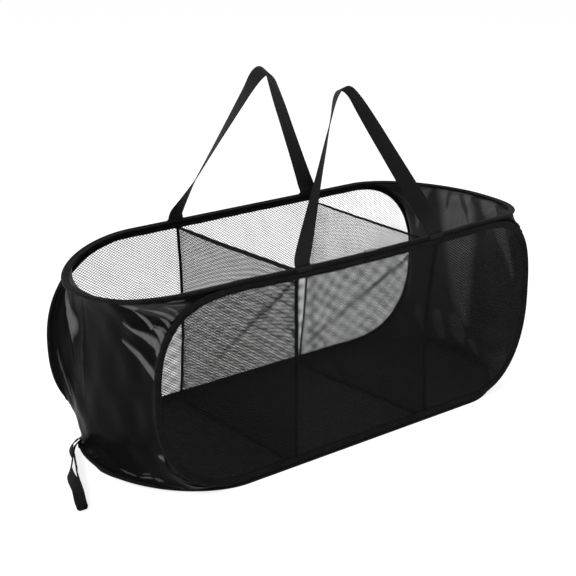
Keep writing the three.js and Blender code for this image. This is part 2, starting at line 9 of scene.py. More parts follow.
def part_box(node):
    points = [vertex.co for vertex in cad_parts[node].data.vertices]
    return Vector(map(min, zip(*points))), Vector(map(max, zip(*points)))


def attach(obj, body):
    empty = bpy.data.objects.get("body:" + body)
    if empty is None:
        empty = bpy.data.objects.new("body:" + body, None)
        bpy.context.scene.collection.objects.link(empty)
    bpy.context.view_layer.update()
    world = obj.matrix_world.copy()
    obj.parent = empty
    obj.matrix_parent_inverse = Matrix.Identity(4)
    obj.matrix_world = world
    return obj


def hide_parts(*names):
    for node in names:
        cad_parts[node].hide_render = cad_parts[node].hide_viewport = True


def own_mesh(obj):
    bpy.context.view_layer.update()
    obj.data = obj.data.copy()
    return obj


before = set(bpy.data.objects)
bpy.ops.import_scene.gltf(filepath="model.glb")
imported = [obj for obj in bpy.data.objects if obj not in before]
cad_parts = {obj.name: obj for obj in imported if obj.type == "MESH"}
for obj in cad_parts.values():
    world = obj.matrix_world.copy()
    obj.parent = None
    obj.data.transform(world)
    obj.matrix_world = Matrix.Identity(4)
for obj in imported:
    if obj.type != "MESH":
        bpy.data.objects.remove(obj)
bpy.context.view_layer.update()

# Sizes read from the frame, in metres
MM = 0.001
bottom_low, bottom_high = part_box("bottom_binding")
top_low, top_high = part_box("top_binding")
front_low, front_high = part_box("front_binding")
back_low, back_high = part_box("back_binding")
HEAD = (bottom_high.z - bottom_low.z) / 2
BOTTOM_LEVEL = (bottom_low.z + bottom_high.z) / 2
TOP_LEVEL = (top_low.z + top_high.z) / 2
LOWER_LEVEL = front_low.z + HEAD
UPPER_LEVEL = front_high.z - HEAD
HALF_DEPTH = (back_low.y + back_high.y) / 2
SEWN = -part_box("left_end_panel")[1].x
DIVIDER = sum(corner.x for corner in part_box("right_divider_mesh")) / 2
MIDDLE = (LOWER_LEVEL + UPPER_LEVEL) / 2
HALF_HEIGHT = (UPPER_LEVEL - LOWER_LEVEL) / 2
SIDEWAYS = np.array([1.0, 0, 0])
UPWARD = np.array([0, 0, 1.0])

# Tapes and wire
BAND_WIDTH = {"bottom": 9.5 * MM, "top": 8.5 * MM, "front": 9.0 * MM, "back": 7.0 * MM}
BAND_SLOT = 0.8 * MM
BAND_CAVITY = 2.2 * MM
WIRE = 1.25 * MM
WEBBING_WIDTH = 30 * MM

# How far the loops' round ends leave their planes, and how far the front's upper edge sags
END_LIFT = {
    "bottom": {"left": 10.2 * MM, "right": 0.0},
    "top": {"left": -14.6 * MM, "right": -11.0 * MM},
    "front": {"left": 0.0, "right": 16.2 * MM},
    "back": {"left": 0.0, "right": 0.0},
}
FRONT_SAG = 5 * MM

# The camera, as fitted to the photograph
CAMERA_AZIMUTH = math.radians(-37.276)
CAMERA_ELEVATION = math.radians(19.405)
CAMERA_ROLL = math.radians(-0.244)
CAMERA_DISTANCE = 2.1716
CAMERA_RIGHT = -0.0312
CAMERA_UP = 0.0540
FOCAL_PIXELS = 1227.16
PHOTO_PIXELS = 576
SENSOR = 36

random = np.random.default_rng(7)


def add_object(name, data):
    """Puts an object in the scene."""
    made = bpy.data.objects.new(name, data)
    bpy.context.scene.collection.objects.link(made)
    return made


def make_camera():
    """Places the camera by its direction, distance and offsets from the hamper's centre."""
    flat = math.cos(CAMERA_ELEVATION)
    back = Vector((
        math.sin(CAMERA_AZIMUTH) * flat,
        -math.cos(CAMERA_AZIMUTH) * flat,
        math.sin(CAMERA_ELEVATION),
    ))
    level = Vector((0, 0, 1)).cross(back).normalized()
    upright = back.cross(level)
    right = level * math.cos(CAMERA_ROLL) + upright * math.sin(CAMERA_ROLL)
    up = upright * math.cos(CAMERA_ROLL) - level * math.sin(CAMERA_ROLL)
    centre = Vector((0, 0, (BOTTOM_LEVEL + TOP_LEVEL) / 2))
    place = centre + back * CAMERA_DISTANCE + right * CAMERA_RIGHT + up * CAMERA_UP
    camera = add_object("camera", bpy.data.cameras.new("camera"))
    camera.matrix_world = Matrix.Translation(place) @ Matrix((right, up, back)).transposed().to_4x4()
    camera.data.sensor_width = SENSOR
    camera.data.lens = FOCAL_PIXELS / PHOTO_PIXELS * SENSOR
    bpy.context.scene.camera = camera


make_camera()


# Materials

# The mesh repeats in cells with one hole at their corners and one in their middle
MESH_CELL = (6.62 * MM, 4.72 * MM)
FINE_CELL = (4.0 * MM, 2.8 * MM)
HOLE_STRETCH = 1.16
MESH_WOBBLE = 3 * MM

# Stitch places are measured round the band's section from the end of its first lip
STITCH_PLACES = (1.8 * MM, 20.0 * MM)
STITCH_HALF_WIDTH = 0.35 * MM
STITCH_PITCH = 3.2 * MM
STITCH_GAP_LEVEL = -0.35


class Nodes:
    """The node tree of a material or a world, with short calls for the nodes used here."""

    def __init__(self, owner):
        owner.use_nodes = True
        self.owner = owner
        self.tree = owner.node_tree
        self.shader = self.tree.nodes.get("Principled BSDF")
        self.output = self.tree.nodes.get("Material Output")

    def join(self, source, socket):
        """Links a socket, or sets a plain value."""
        if isinstance(source, bpy.types.NodeSocket):
            self.tree.links.new(source, socket)
        else:
            socket.default_value = source

    def node(self, kind, *values, **settings):
        """Adds a node with its settings, and joins values to its first inputs."""
        made = self.tree.nodes.new(kind)
        for key, value in settings.items():
            setattr(made, key, value)
        for value, socket in zip(values, made.inputs):
            self.join(value, socket)
        return made

    def math(self, operation, *values):
        return self.node("ShaderNodeMath", *values, operation=operation).outputs[0]

    def vector(self, operation, *values):
        made = self.node("ShaderNodeVectorMath", *values, operation=operation)
        return made.outputs["Value" if operation == "LENGTH" else "Vector"]

    def uv(self):
        """The place in the cloth, in metres along and across it."""
        return self.node("ShaderNodeUVMap", uv_map="cloth").outputs["UV"]

    def cloth_axes(self):
        """The place along the cloth, and the place across it."""
        axes = self.node("ShaderNodeSeparateXYZ", self.uv()).outputs
        return axes[0], axes[1]

    def attribute(self, name):
        return self.node("ShaderNodeAttribute", attribute_name=name).outputs["Fac"]

    def noise(self, place, scale, detail=3, roughness=0.5):
        made = self.node("ShaderNodeTexNoise")
        values = {"Vector": place, "Scale": scale, "Detail": detail, "Roughness": roughness}
        for name, value in values.items():
            self.join(value, made.inputs[name])
        return made.outputs["Fac"]

    def ripple(self, place, pitch):
        """A sine wave that repeats at a pitch."""
        return self.math("SINE", self.math("MULTIPLY", place, 2 * math.pi / pitch))

    def spread(self, value, source, target):
        """Carries a value over from one span to another."""
        return self.node("ShaderNodeMapRange", value, *source, *target).outputs["Result"]

    def blend(self, share, first, second):
        """A colour between two others."""
        made = self.node("ShaderNodeMix", data_type="RGBA")
        for value, place in ((share, 0), (first, 6), (second, 7)):
            self.join(value, made.inputs[place])
        return made.outputs[2]

    def paint(self, share, first, second):
        self.join(self.blend(share, first, second), self.shader.inputs["Base Color"])

    def bump(self, height, distance):
        made = self.node("ShaderNodeBump")
        self.join(height, made.inputs["Height"])
        self.join(distance, made.inputs["Distance"])
        self.join(made.outputs["Normal"], self.shader.inputs["Normal"])

    def finish(self, roughness, specular):
        self.join(roughness, self.shader.inputs["Roughness"])
        self.join(specular, self.shader.inputs["Specular IOR Level"])
        return self.owner

    def seen_directly(self):
        """One for the camera's own rays, in reflections and through gaps, and none for other light."""
        path = self.node("ShaderNodeLightPath").outputs
        seen = self.math("MAXIMUM", path["Is Camera Ray"], path["Is Glossy Ray"])
        return self.math("MAXIMUM", seen, path["Is Transmission Ray"])


def material_nodes(name):
    return Nodes(bpy.data.materials.new(name))


def grey(value):
    """A near neutral dark colour."""
    return (value, value, value * 1.02, 1)


def woven(nodes, along_pitch, across_pitch):
    """Height of a plain weave whose threads lie along and across the cloth."""
    along, across = nodes.cloth_axes()
    return nodes.math("MULTIPLY", nodes.ripple(along, along_pitch), nodes.ripple(across, across_pitch))


def stitch_row(nodes, place):
    """One where a row of stitches runs along the cloth, at a place across it."""
    along, across = nodes.cloth_axes()
    beside = nodes.math("ABSOLUTE", nodes.math("SUBTRACT", across, place))
    row = nodes.math("LESS_THAN", beside, STITCH_HALF_WIDTH)
    thread = nodes.math("GREATER_THAN", nodes.ripple(along, STITCH_PITCH), STITCH_GAP_LEVEL)
    return nodes.math("MULTIPLY", row, thread)


def tape_material(name, dark, light):
    """Black woven tape, with a row of stitches near each lip and dusty wear in patches."""
    nodes = material_nodes(name)
    weave = woven(nodes, along_pitch=1.3 * MM, across_pitch=0.9 * MM)
    worn = nodes.noise(nodes.uv(), scale=60, detail=4)
    nodes.paint(nodes.spread(worn, (0.35, 0.75), (0, 1)), grey(dark), grey(light))
    seams = nodes.math("ADD", *[stitch_row(nodes, place) for place in STITCH_PLACES])
    nodes.bump(nodes.math("MULTIPLY_ADD", seams, 2.0, weave), distance=0.16 * MM)
    return nodes.finish(nodes.spread(weave, (-1, 1), (0.75, 0.5)), specular=0.03)


def nylon_material(name, dark, light, painted_highlight_grey, roughness, specular):
    """Coated nylon, with a fine weave and soft creases, and painted highlight: a paler grey painted into its
    colour in streaks where folds catch the light.
    """
    nodes = material_nodes(name)
    weave = woven(nodes, along_pitch=0.7 * MM, across_pitch=0.7 * MM)
    dust = nodes.noise(nodes.uv(), scale=25, detail=5, roughness=0.6)
    crumple = nodes.noise(nodes.uv(), scale=60, roughness=0.55)
    highlight_streak_place = nodes.vector("MULTIPLY", nodes.uv(), (1, 0.12, 0))
    highlight_streaks = nodes.spread(nodes.noise(highlight_streak_place, scale=180, roughness=0.6), (0.3, 0.7), (0.75, 1.1))
    # Painted highlight: the attribute marks the highlight streaks, where the colour turns to the paler grey
    painted_highlight = nodes.math("MULTIPLY", nodes.attribute("tight"), highlight_streaks)
    nodes.paint(painted_highlight, nodes.blend(dust, grey(dark), grey(light)), grey(painted_highlight_grey))
    nodes.bump(nodes.math("MULTIPLY_ADD", weave, 0.03, crumple), distance=0.35 * MM)
    return nodes.finish(nodes.spread(dust, (0.3, 0.7), (roughness * 0.9, roughness * 1.15)), specular)


def floor_material():
    """Black woven cloth, duller than the ends."""
    nodes = material_nodes("floor_cloth")
    weave = woven(nodes, along_pitch=1.0 * MM, across_pitch=1.0 * MM)
    dust = nodes.noise(nodes.uv(), scale=14, detail=5, roughness=0.6)
    nodes.paint(dust, grey(0.0075), grey(0.0150))
    nodes.bump(nodes.math("MULTIPLY_ADD", weave, 0.05, dust), distance=1.5 * MM)
    return nodes.finish(nodes.spread(weave, (-1, 1), (0.7, 0.5)), specular=0.03)


def webbing_material():
    """Black polyester webbing: a bold rib across its width and a chevron in its threads."""
    nodes = material_nodes("webbing")
    along, across = nodes.cloth_axes()
    slanted = nodes.math("ADD", along, nodes.math("PINGPONG", across, WEBBING_WIDTH / 8))
    rib = nodes.ripple(slanted, 1.9 * MM)
    thread = nodes.ripple(across, 0.95 * MM)
    weave = nodes.math("MULTIPLY_ADD", rib, 0.6, thread)
    span = (-1.6, 1.6)
    fuzz = nodes.noise(nodes.uv(), scale=90, detail=4)
    tone = nodes.math("MULTIPLY_ADD", fuzz, 0.6, nodes.spread(weave, span, (0, 0.5)))
    nodes.paint(tone, grey(0.0045), grey(0.0120))
    nodes.bump(weave, distance=0.16 * MM)
    return nodes.finish(nodes.spread(weave, span, (0.8, 0.55)), specular=0.07)


def elastic_material():
    """Black braided elastic: cords along its length, crossed by fine threads."""
    nodes = material_nodes("elastic")
    weave = woven(nodes, along_pitch=1.4 * MM, across_pitch=1.6 * MM)
    nodes.paint(nodes.noise(nodes.uv(), scale=120), grey(0.0018), grey(0.0052))
    nodes.bump(weave, distance=0.2 * MM)
    return nodes.finish(nodes.spread(weave, (-1, 1), (0.8, 0.55)), specular=0.03)


def steel_material():
    """Spring steel, darkened and finely marked."""
    nodes = material_nodes("spring_steel")
    place = nodes.node("ShaderNodeTexCoord").outputs["Object"]
    marks = nodes.noise(place, scale=400, detail=2)
    nodes.paint(marks, (0.12, 0.12, 0.13, 1), (0.22, 0.22, 0.23, 1))
    nodes.join(1, nodes.shader.inputs["Metallic"])
    return nodes.finish(nodes.spread(marks, (0.3, 0.7), (0.25, 0.4)), specular=0.5)


def mesh_material(name, open_share, cell_size, thread_cover=1):
    """Knitted mesh: slightly wide holes on a slanted lattice, smaller where the cloth is pulled taut."""
    nodes = material_nodes(name)
    cell = Vector((*cell_size, 1))
    wobble = nodes.noise(nodes.uv(), scale=7, detail=2).node.outputs["Color"]
    place = nodes.vector("ADD", nodes.uv(), nodes.vector("MULTIPLY", wobble, [MESH_WOBBLE] * 3))
    distances = []
    for offset in (Vector((0, 0, 0)), cell / 2):
        wrapped = nodes.vector("WRAP", nodes.vector("ADD", place, offset), cell / 2, -cell / 2)
        flat = nodes.vector("MULTIPLY", wrapped, (1 / HOLE_STRETCH, HOLE_STRETCH, 0))
        distances.append(nodes.vector("LENGTH", flat))
    away = nodes.math("MINIMUM", *distances)
    open_radius = math.sqrt(open_share * cell.x * cell.y / 2 / math.pi)
    uneven = nodes.noise(nodes.uv(), scale=22)
    radius = nodes.spread(uneven, (0.3, 0.7), (open_radius * 0.97, open_radius * 1.03))
    pulled = nodes.math("MULTIPLY_ADD", nodes.attribute("tight"), -0.7, 1)
    thread = nodes.math("GREATER_THAN", away, nodes.math("MULTIPLY", radius, pulled))
    nodes.join(nodes.math("MULTIPLY", thread, thread_cover), nodes.shader.inputs["Alpha"])
    fuzz = nodes.noise(nodes.uv(), scale=300)
    nodes.paint(fuzz, grey(0.0045), grey(0.0095))
    nodes.bump(away, distance=0.3 * MM)
    return nodes.finish(nodes.spread(fuzz, (0.3, 0.7), (0.75, 0.55)), specular=0.03)


# The nylon materials' paler grey is painted highlight
MATERIALS = {
    "binding_tape": tape_material("binding_tape", dark=0.0048, light=0.0096),
    "glossy_nylon": nylon_material("glossy_nylon", dark=0.0026, light=0.0046, painted_highlight_grey=0.090,
                                   roughness=0.20, specular=0.005),
    "floor_cloth": floor_material(),
    "webbing": webbing_material(),
    "elastic": elastic_material(),
    "spring_steel": steel_material(),
}
LINING = nylon_material("nylon_inside", dark=0.010, light=0.018, painted_highlight_grey=0.112,
                        roughness=0.45, specular=0.05)
# Painted shade: the tapes on the seams inside the hamper are a darker copy of the binding tape
SHADED_SEAM_TAPE = tape_material("shaded_seam_tape", dark=0.0015, light=0.0030)
FRONT_MESH = mesh_material("mesh_front", 0.51, MESH_CELL)
BACK_MESH = mesh_material("mesh_back", 0.55, MESH_CELL, thread_cover=0.80)
DIVIDER_MESH = {
    "left": mesh_material("mesh_left", 0.41, FINE_CELL),
    "right": mesh_material("mesh_right", 0.57, FINE_CELL),
}


# Mesh building

def add_piece(name, points, faces, cloth, slot, body, material=None, normals=None, tight=None):
    """Makes a smooth mesh piece on a body. cloth holds each face corner's place in the cloth, in metres."""
    data = bpy.data.meshes.new(name)
    data.from_pydata([tuple(p) for p in points], [], [tuple(int(i) for i in f) for f in faces])
    layer = data.uv_layers.new(name="cloth")
    layer.data.foreach_set("uv", np.asarray(cloth, np.float32).ravel())
    data.polygons.foreach_set("use_smooth", [True] * len(data.polygons))
    # The attribute holds how tight a mesh is pulled, and on the nylon ends their painted highlight
    if tight is not None:
        values = data.attributes.new("tight", "FLOAT", "POINT").data
        values.foreach_set("value", np.asarray(tight, np.float32))
    if normals is not None:
        data.normals_split_custom_set_from_vertices([tuple(n) for n in normals])
    data.materials.append(material or MATERIALS[slot])
    piece = add_object(name, data)
    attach(piece, body)
    return piece


def grid_faces(rows, columns, wrap_rows=False, wrap_columns=False):
    """Corner indices of a grid's faces, and those of the unwrapped cloth grid that they take."""
    row, column = np.meshgrid(
        np.arange(rows if wrap_rows else rows - 1),
        np.arange(columns if wrap_columns else columns - 1),
        indexing="ij",
    )
    steps = ((0, 0), (0, 1), (1, 1), (1, 0))
    faces = np.stack([(row + a) % rows * columns + (column + b) % columns for a, b in steps], -1)
    wide = columns + (1 if wrap_columns else 0)
    cloth = np.stack([(row + a) * wide + column + b for a, b in steps], -1)
    return faces.reshape(-1, 4), cloth.reshape(-1, 4)


def lengths(points, closed=False):
    """Distance along a line of points to each of them."""
    ahead = np.roll(points, -1, 0) if closed else points[1:]
    steps = np.linalg.norm(ahead - points[:len(ahead)], axis=1)
    return np.concatenate([[0], np.cumsum(steps)])


def evenly(line, count):
    """Evenly spaced places along a line of points."""
    spots = lengths(line)
    even = np.linspace(0, spots[-1], count)
    return np.stack([np.interp(even, spots, values) for values in line.T], -1)


def eased(share):
    """A share held between none and all, with soft ends."""
    held = np.clip(share, 0, 1)
    return held * held * (3 - 2 * held)


def unit(vectors):
    """Vectors brought to the length of one."""
    return vectors / np.linalg.norm(vectors, axis=-1)[..., None]


def arc(radius, angles):
    """Places on a circle at some angles."""
    return [(radius * math.cos(a), radius * math.sin(a)) for a in angles]


def sweep(name, stations, outs, sides, section, slot, body, closed=False, material=None):
    """Carries a closed section along stations. The section's two columns are outward and sideways."""
    section = np.asarray(section)
    if section.ndim == 2:
        section = np.repeat(section[None], len(stations), 0)
    points = stations[:, None] + section[:, :, :1] * outs[:, None] + section[:, :, 1:] * sides[:, None]
    rows, columns = points.shape[:2]
    faces, picks = grid_faces(rows, columns, closed, True)
    along = lengths(stations, closed)
    across = lengths(section[0], True)
    cloth = np.stack(np.meshgrid(along, across, indexing="ij"), -1).reshape(-1, 2)
    faces = [list(f) for f in faces]
    corners = list(cloth[picks].reshape(-1, 2))
    if not closed:
        last = (rows - 1) * columns
        faces.append([columns - 1 - i for i in range(columns)])
        faces.append([last + i for i in range(columns)])
        corners.extend([cloth[0]] * (2 * columns))
    return add_piece(name, points.reshape(-1, 3), faces, corners, slot, body, material)


# The loops' lines

LOOP_LEVELS = {"bottom": BOTTOM_LEVEL, "top": TOP_LEVEL, "front": -HALF_DEPTH, "back": HALF_DEPTH}

# How square the loops' round ends are on the lower or front side and on the upper or back one
LOOP_SQUARENESS = {"bottom": (1.8, 2.6), "top": (2.6, 1.7), "front": (2.2, 2.9), "back": (2.4, 2.2)}


def loop_shape(name):
    """A loop: its two end reaches, half width, level, squareness, and lift out of its plane."""
    low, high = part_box(f"{name}_binding")
    standing = name in ("front", "back")
    return {
        "reach": {"left": -low.x - HEAD - SEWN, "right": high.x - HEAD - SEWN},
        "half": HALF_HEIGHT if standing else HALF_DEPTH,
        "level": LOOP_LEVELS[name],
        "squareness": LOOP_SQUARENESS[name],
        "lift": END_LIFT[name],
        "standing": standing,
    }


LOOPS = {name: loop_shape(name) for name in LOOP_LEVELS}


def power(value, exponent):
    return np.sign(value) * np.abs(value) ** exponent


def by_side(values, x):
    """The left value or the right one, as places lie to the left or the right."""
    return np.where(x < 0, values["left"], values["right"])


def end_curve(loop, side, angle):
    """How far past the sewn length, and how far from the middle, a round end is at an angle."""
    low, high = loop["squareness"]
    exponent = np.where(np.sin(angle) < 0, 2 / low, 2 / high)
    past = loop["reach"][side] * np.abs(np.cos(angle)) ** exponent
    away = loop["half"] * power(np.sin(angle), exponent)
    return past, away


def sag_of(x):
    """How far the middle of the front's upper edge sags between its ends."""
    return FRONT_SAG * np.clip(1 - (np.asarray(x, float) / SEWN) ** 2, 0, 1)


def lift_of(loop, x):
    """How far a loop's round ends leave its plane."""
    past = np.clip(np.abs(x) - SEWN, 0, None)
    return by_side(loop["lift"], x) * (past / by_side(loop["reach"], x)) ** 2


def in_space(name, x, away):
    """The places of a loop's plane points, with its lift and its sag."""
    loop = LOOPS[name]
    lift = lift_of(loop, x)
    if loop["standing"]:
        z = MIDDLE + away
        if name == "front":
            z = z - sag_of(x) * np.clip(away / loop["half"], 0, 1) ** 2
        return np.stack([x, loop["level"] + lift, z], -1)
    z = loop["level"] + lift
    if name == "top":
        z = z - sag_of(x) * np.clip(-away / loop["half"], 0, 1) ** 2
    return np.stack([x, away, z], -1)


def loop_line(name, spacing):
    """Evenly spaced places round a loop, anticlockwise from the foot of its right end."""
    angle = np.linspace(-math.pi / 2, math.pi / 2, 400)
    parts = []
    for side, sign in (("right", 1), ("left", -1)):
        past, away = end_curve(LOOPS[name], side, angle[::sign])
        parts.append(np.stack([sign * (SEWN + past), away], -1))
        edge = parts[-1][-1]
        straight = np.linspace(edge[0], -edge[0], 100)[1:-1]
        parts.append(np.stack([straight, np.full_like(straight, edge[1])], -1))
    outline = np.concatenate([*parts, parts[0][:1]])
    count = int(round(lengths(outline)[-1] / spacing))
    return evenly(outline, count + 1)[:-1]


def loop_frames(name, plane):
    """Places, outward directions and sideways directions of a loop's line."""
    places = in_space(name, plane[:, 0], plane[:, 1])
    along = unit(np.roll(places, -1, 0) - np.roll(places, 1, 0))
    normal = np.array([0, -1, 0] if LOOPS[name]["standing"] else [0, 0, 1], float)
    outs = unit(np.cross(along, normal))
    return places, outs, np.cross(outs, along)


def waves(count, strength, most_turns):
    """Smooth seeded waves round a closed line."""
    spot = np.arange(count) / count * 2 * math.pi
    total = np.zeros(count)
    for turns in range(2, most_turns):
        total += random.normal() * np.sin(turns * spot + random.uniform(0, 2 * math.pi)) / math.sqrt(turns)
    return strength * total / np.abs(total).max()


# The bands

BODY_OF = {"bottom": "base", "top": "top_rim", "front": "front_frame", "back": "back_frame"}

# A lip's outline from the wire to its edge: ninths of its reach, and half its thickness in millimetres
LIP_OUTLINE = ((1.6, 1.45), (4.2, 1.6), (6.2, 1.5), (7.0, 1.25), (7.8, 1.45), (9, 1.3))


def band_section(width):
    """The band's folded section: round over the wire, drawn in beside it, and two lips with a slot."""
    ninth = (width - HEAD) / 9
    lip = [(-HEAD - ninth * out, side * MM) for out, side in LIP_OUTLINE]
    lip.append((-width, BAND_SLOT))
    mouth = math.pi - math.asin(BAND_SLOT / BAND_CAVITY)
    head = arc(HEAD, np.linspace(-1.9, 1.9, 15))
    hollow = arc(BAND_CAVITY, np.linspace(mouth, -mouth, 9))
    under = [(out, -side) for out, side in reversed(lip)]
    return np.array(under + head + lip + hollow)


def add_band(name, body):
    """The tape folded round a loop, its lips a little wavy, and the wire inside it."""
    plane = loop_line(name, spacing=5 * MM)
    places, outs, sides = loop_frames(name, plane)
    count = len(places)
    section = np.repeat(band_section(BAND_WIDTH[name])[None], count, 0)
    lips = section[..., 0] < -HEAD
    section[..., 0] += np.where(lips, waves(count, 0.8 * MM, most_turns=60)[:, None], 0)
    section[..., 1] += np.where(lips, waves(count, 0.35 * MM, most_turns=90)[:, None], 0)
    band = sweep(f"{name}_band", places, outs, sides, section, "binding_tape", body, closed=True)
    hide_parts(f"{name}_binding")
    ring = arc(WIRE, np.linspace(0, 2 * math.pi, 8, endpoint=False))
    start = int(np.argmin(np.abs(plane[:, 0]) + (plane[:, 1] > 0)))
    order = (np.arange(count - 1) + start + 1) % count
    wire = sweep(f"{name}_loop_wire", places[order], outs[order], sides[order], ring, "spring_steel", body)
    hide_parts(f"{name}_wire")
    return band


bands = {name: add_band(name, body) for name, body in BODY_OF.items()}


# Flat sheets inside the loops

SHEET_INSET = 4.5 * MM
GROUND_GAP = 0.5 * MM
FLOOR_EDGE = 20 * MM
SEAM_REACH = 7 * MM


def sheet_edges(loop, x):
    """The lower and upper edge of a loop's sheet at places along it."""
    past = np.clip((np.abs(x) - SEWN) / (by_side(loop["reach"], x) - SHEET_INSET), 0, 1)
    return [sign * (loop["half"] - SHEET_INSET) * (1 - past ** squareness) ** (1 / squareness)
            for sign, squareness in zip((-1, 1), loop["squareness"])]


def sheet_grid(loop, columns, rows):
    """A grid of plane points that fills a loop."""
    left, right = [SEWN + loop["reach"][side] - SHEET_INSET for side in ("left", "right")]
    turn = np.linspace(0, math.pi, columns)
    x = (right - left) / 2 - (right + left) / 2 * np.cos(turn)
    x[0], x[-1] = -left + 0.2 * MM, right - 0.2 * MM
    low, high = sheet_edges(loop, x)
    away = low[:, None] + (high - low)[:, None] * np.linspace(0, 1, rows)[None]
    return np.repeat(x[:, None], rows, 1), away


def cloth_waves(first, second, strength, shortest, longest, count):
    """A sum of seeded waves over a sheet."""
    total = np.zeros_like(first)
    for _ in range(count):
        direction = random.uniform(0, math.pi)
        turns = 2 * math.pi / random.uniform(shortest, longest)
        phase = random.uniform(0, 2 * math.pi)
        total += np.sin(turns * (first * math.cos(direction) + second * math.sin(direction)) + phase)
    return strength * total / math.sqrt(count)


def add_loop_sheet(name, node, loop, x, away, places, held, band, **looks):
    """Makes the sheet that fills a loop."""
    faces, picks = grid_faces(*x.shape)
    cloth = np.stack([x, away], -1).reshape(-1, 2)
    piece = add_piece(name, places.reshape(-1, 3), faces, cloth[picks].reshape(-1, 2), **looks)
    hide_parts(node)


def add_side_mesh(name, material):
    """A front or back panel of mesh, slightly slack between its band and the dividers' seams."""
    loop = LOOPS[name]
    x, away = sheet_grid(loop, columns=170, rows=70)
    places = in_space(name, x, away)
    slack = np.clip(1 - (away / loop["half"]) ** 2, 0, 1)
    places[..., 1] += cloth_waves(x, away, 0.8 * MM, shortest=0.05, longest=0.2, count=9) * slack
    seams = np.minimum(np.abs(x - DIVIDER), np.abs(x + DIVIDER))
    uneven = cloth_waves(x * 1.4, away * 0.6, 0.05, shortest=0.02, longest=0.09, count=8)
    tight = np.clip(uneven, 0, 0.12)
    tight += 0.3 * np.exp(-(seams / SEAM_REACH) ** 2)
    if name == "back":
        # The photo shows it more open by the right end and closer by the left one
        tight -= 0.25 * np.clip((x - DIVIDER) / (40 * MM), 0, 1) * np.clip(away / (70 * MM), 0, 1)
        tight += 0.11 * np.clip((-DIVIDER - x) / (20 * MM), 0, 1)
    add_loop_sheet(f"{name}_mesh", f"{name}_mesh_panel", loop, x, away, places, "stretched", bands[name],
                   slot="mesh_fabric", body=BODY_OF[name], material=material, tight=tight.ravel())


def add_floor():
    """The opaque floor, a little uneven, which lies on the ground and rises at its edge into its band."""
    loop = LOOPS["bottom"]
    x, away = sheet_grid(loop, columns=190, rows=90)
    low, high = sheet_edges(loop, x)
    rise = 1 - eased(np.minimum(high - away, away - low) / FLOOR_EDGE)
    places = in_space("bottom", x, away)
    places[..., 2] = GROUND_GAP + (places[..., 2] - GROUND_GAP) * rise
    uneven = cloth_waves(x, away, 0.9 * MM, shortest=0.03, longest=0.12, count=12)
    places[..., 2] += np.clip(uneven, 0, 3 * MM)
    add_loop_sheet("floor_cloth", "floor_panel", loop, x, away, places, "laid", bands["bottom"],
                   slot="floor_cloth", body="base")


add_side_mesh("front", FRONT_MESH)
add_side_mesh("back", BACK_MESH)
add_floor()


# Sheets that fold with the frames: each is two pieces, divided from the bottom's front to the top's back

HALF_BODIES = {"lower": ("base", BOTTOM_LEVEL), "upper": ("top_rim", TOP_LEVEL)}


def half_faces(count):
    """The faces of a square grid's lower and upper half."""
    halves = {"lower": [], "upper": []}
    for i in range(count - 1):
        for j in range(count - 1):
            a, b = i * count + j, (i + 1) * count + j
            c, d = b + 1, a + 1
            if i > j:
                halves["lower"].append((a, b, c, d))
            elif i < j:
                halves["upper"].append((a, b, c, d))
            else:
                halves["lower"].append((a, b, c))
                halves["upper"].append((a, c, d))
    return halves


def part_of(shape, faces):
    """The part of a shape that some faces use."""
    used = np.unique(np.concatenate([np.array(f) for f in faces]))
    index = np.full(len(shape["points"]), -1)
    index[used] = np.arange(len(used))
    part = {key: shape[key][used] for key in ("points", "normals", "tight")}
    part["faces"] = [list(index[list(f)]) for f in faces]
    part["cloth"] = np.concatenate([shape["cloth"][list(f)] for f in faces])
    return part


def with_lining(shape, gap, outer_painted_highlight):
    """Adds a second layer of cloth behind the first, its faces turned the other way."""
    count = len(shape["points"])
    turned = [[count + i for i in reversed(face)] for face in shape["faces"]]
    ends = np.cumsum([len(face) for face in shape["faces"]])[:-1]
    cloth = np.concatenate([part[::-1] for part in np.split(shape["cloth"], ends)])
    # The outer layer takes only its share of the painted highlight, and the lining takes all of it
    return {
        "points": np.concatenate([shape["points"], shape["points"] - shape["normals"] * gap]),
        "faces": shape["faces"] + turned,
        "cloth": np.concatenate([shape["cloth"], cloth]),
        "normals": np.concatenate([shape["normals"], -shape["normals"]]),
        "tight": np.concatenate([shape["tight"] * outer_painted_highlight, shape["tight"]]),
    }


def add_halves(name, node, grid, cloth, tight, keep, flat, rests_on, lining=None, **looks):
    """Makes the lower and upper half of a square grid, whose axes run backward and upward.

    flat, the size of the whole sheet's cut, is not used. A lining, given as its signed gap and the outer
    layer's share of the painted highlight, is a second layer behind the sheet.
    """
    normals = unit(np.cross(np.gradient(grid, axis=0), np.gradient(grid, axis=1)))
    whole = {
        "points": grid.reshape(-1, 3),
        "normals": normals.reshape(-1, 3),
        "tight": tight.ravel(),
        "cloth": cloth.reshape(-1, 2),
    }
    for half, faces in half_faces(len(grid)).items():
        body, anchor = HALF_BODIES[half]
        shape = part_of(whole, faces)
        if lining:
            shape = with_lining(shape, *lining)
        piece = add_piece(f"{name}_{half}", body=body, **shape, **looks)
        if lining:
            piece.data.materials.append(LINING)
            piece.data.polygons.foreach_set("material_index", np.repeat([0, 1], len(faces)))
        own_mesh(piece)
        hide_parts(node)


# The dividers

# Where their front and back edges hang, from foot to top, and how far their tops lie below the rim
DIVIDER_EDGES = {
    "left": {
        "front": (-0.1515, -0.1510, -0.1500),
        "back": (-0.1600, -0.1500, -0.1545),
        "drop": (5 * MM, 12 * MM),
    },
    "right": {
        "front": (0.1390, 0.1310, 0.1500),
        "back": (0.1160, 0.1340, 0.1450),
        "drop": (17 * MM, 14 * MM),
    },
}
DIVIDER_FOOT = 2.2 * MM
DIVIDER_EDGE_GAP = 1.2 * MM

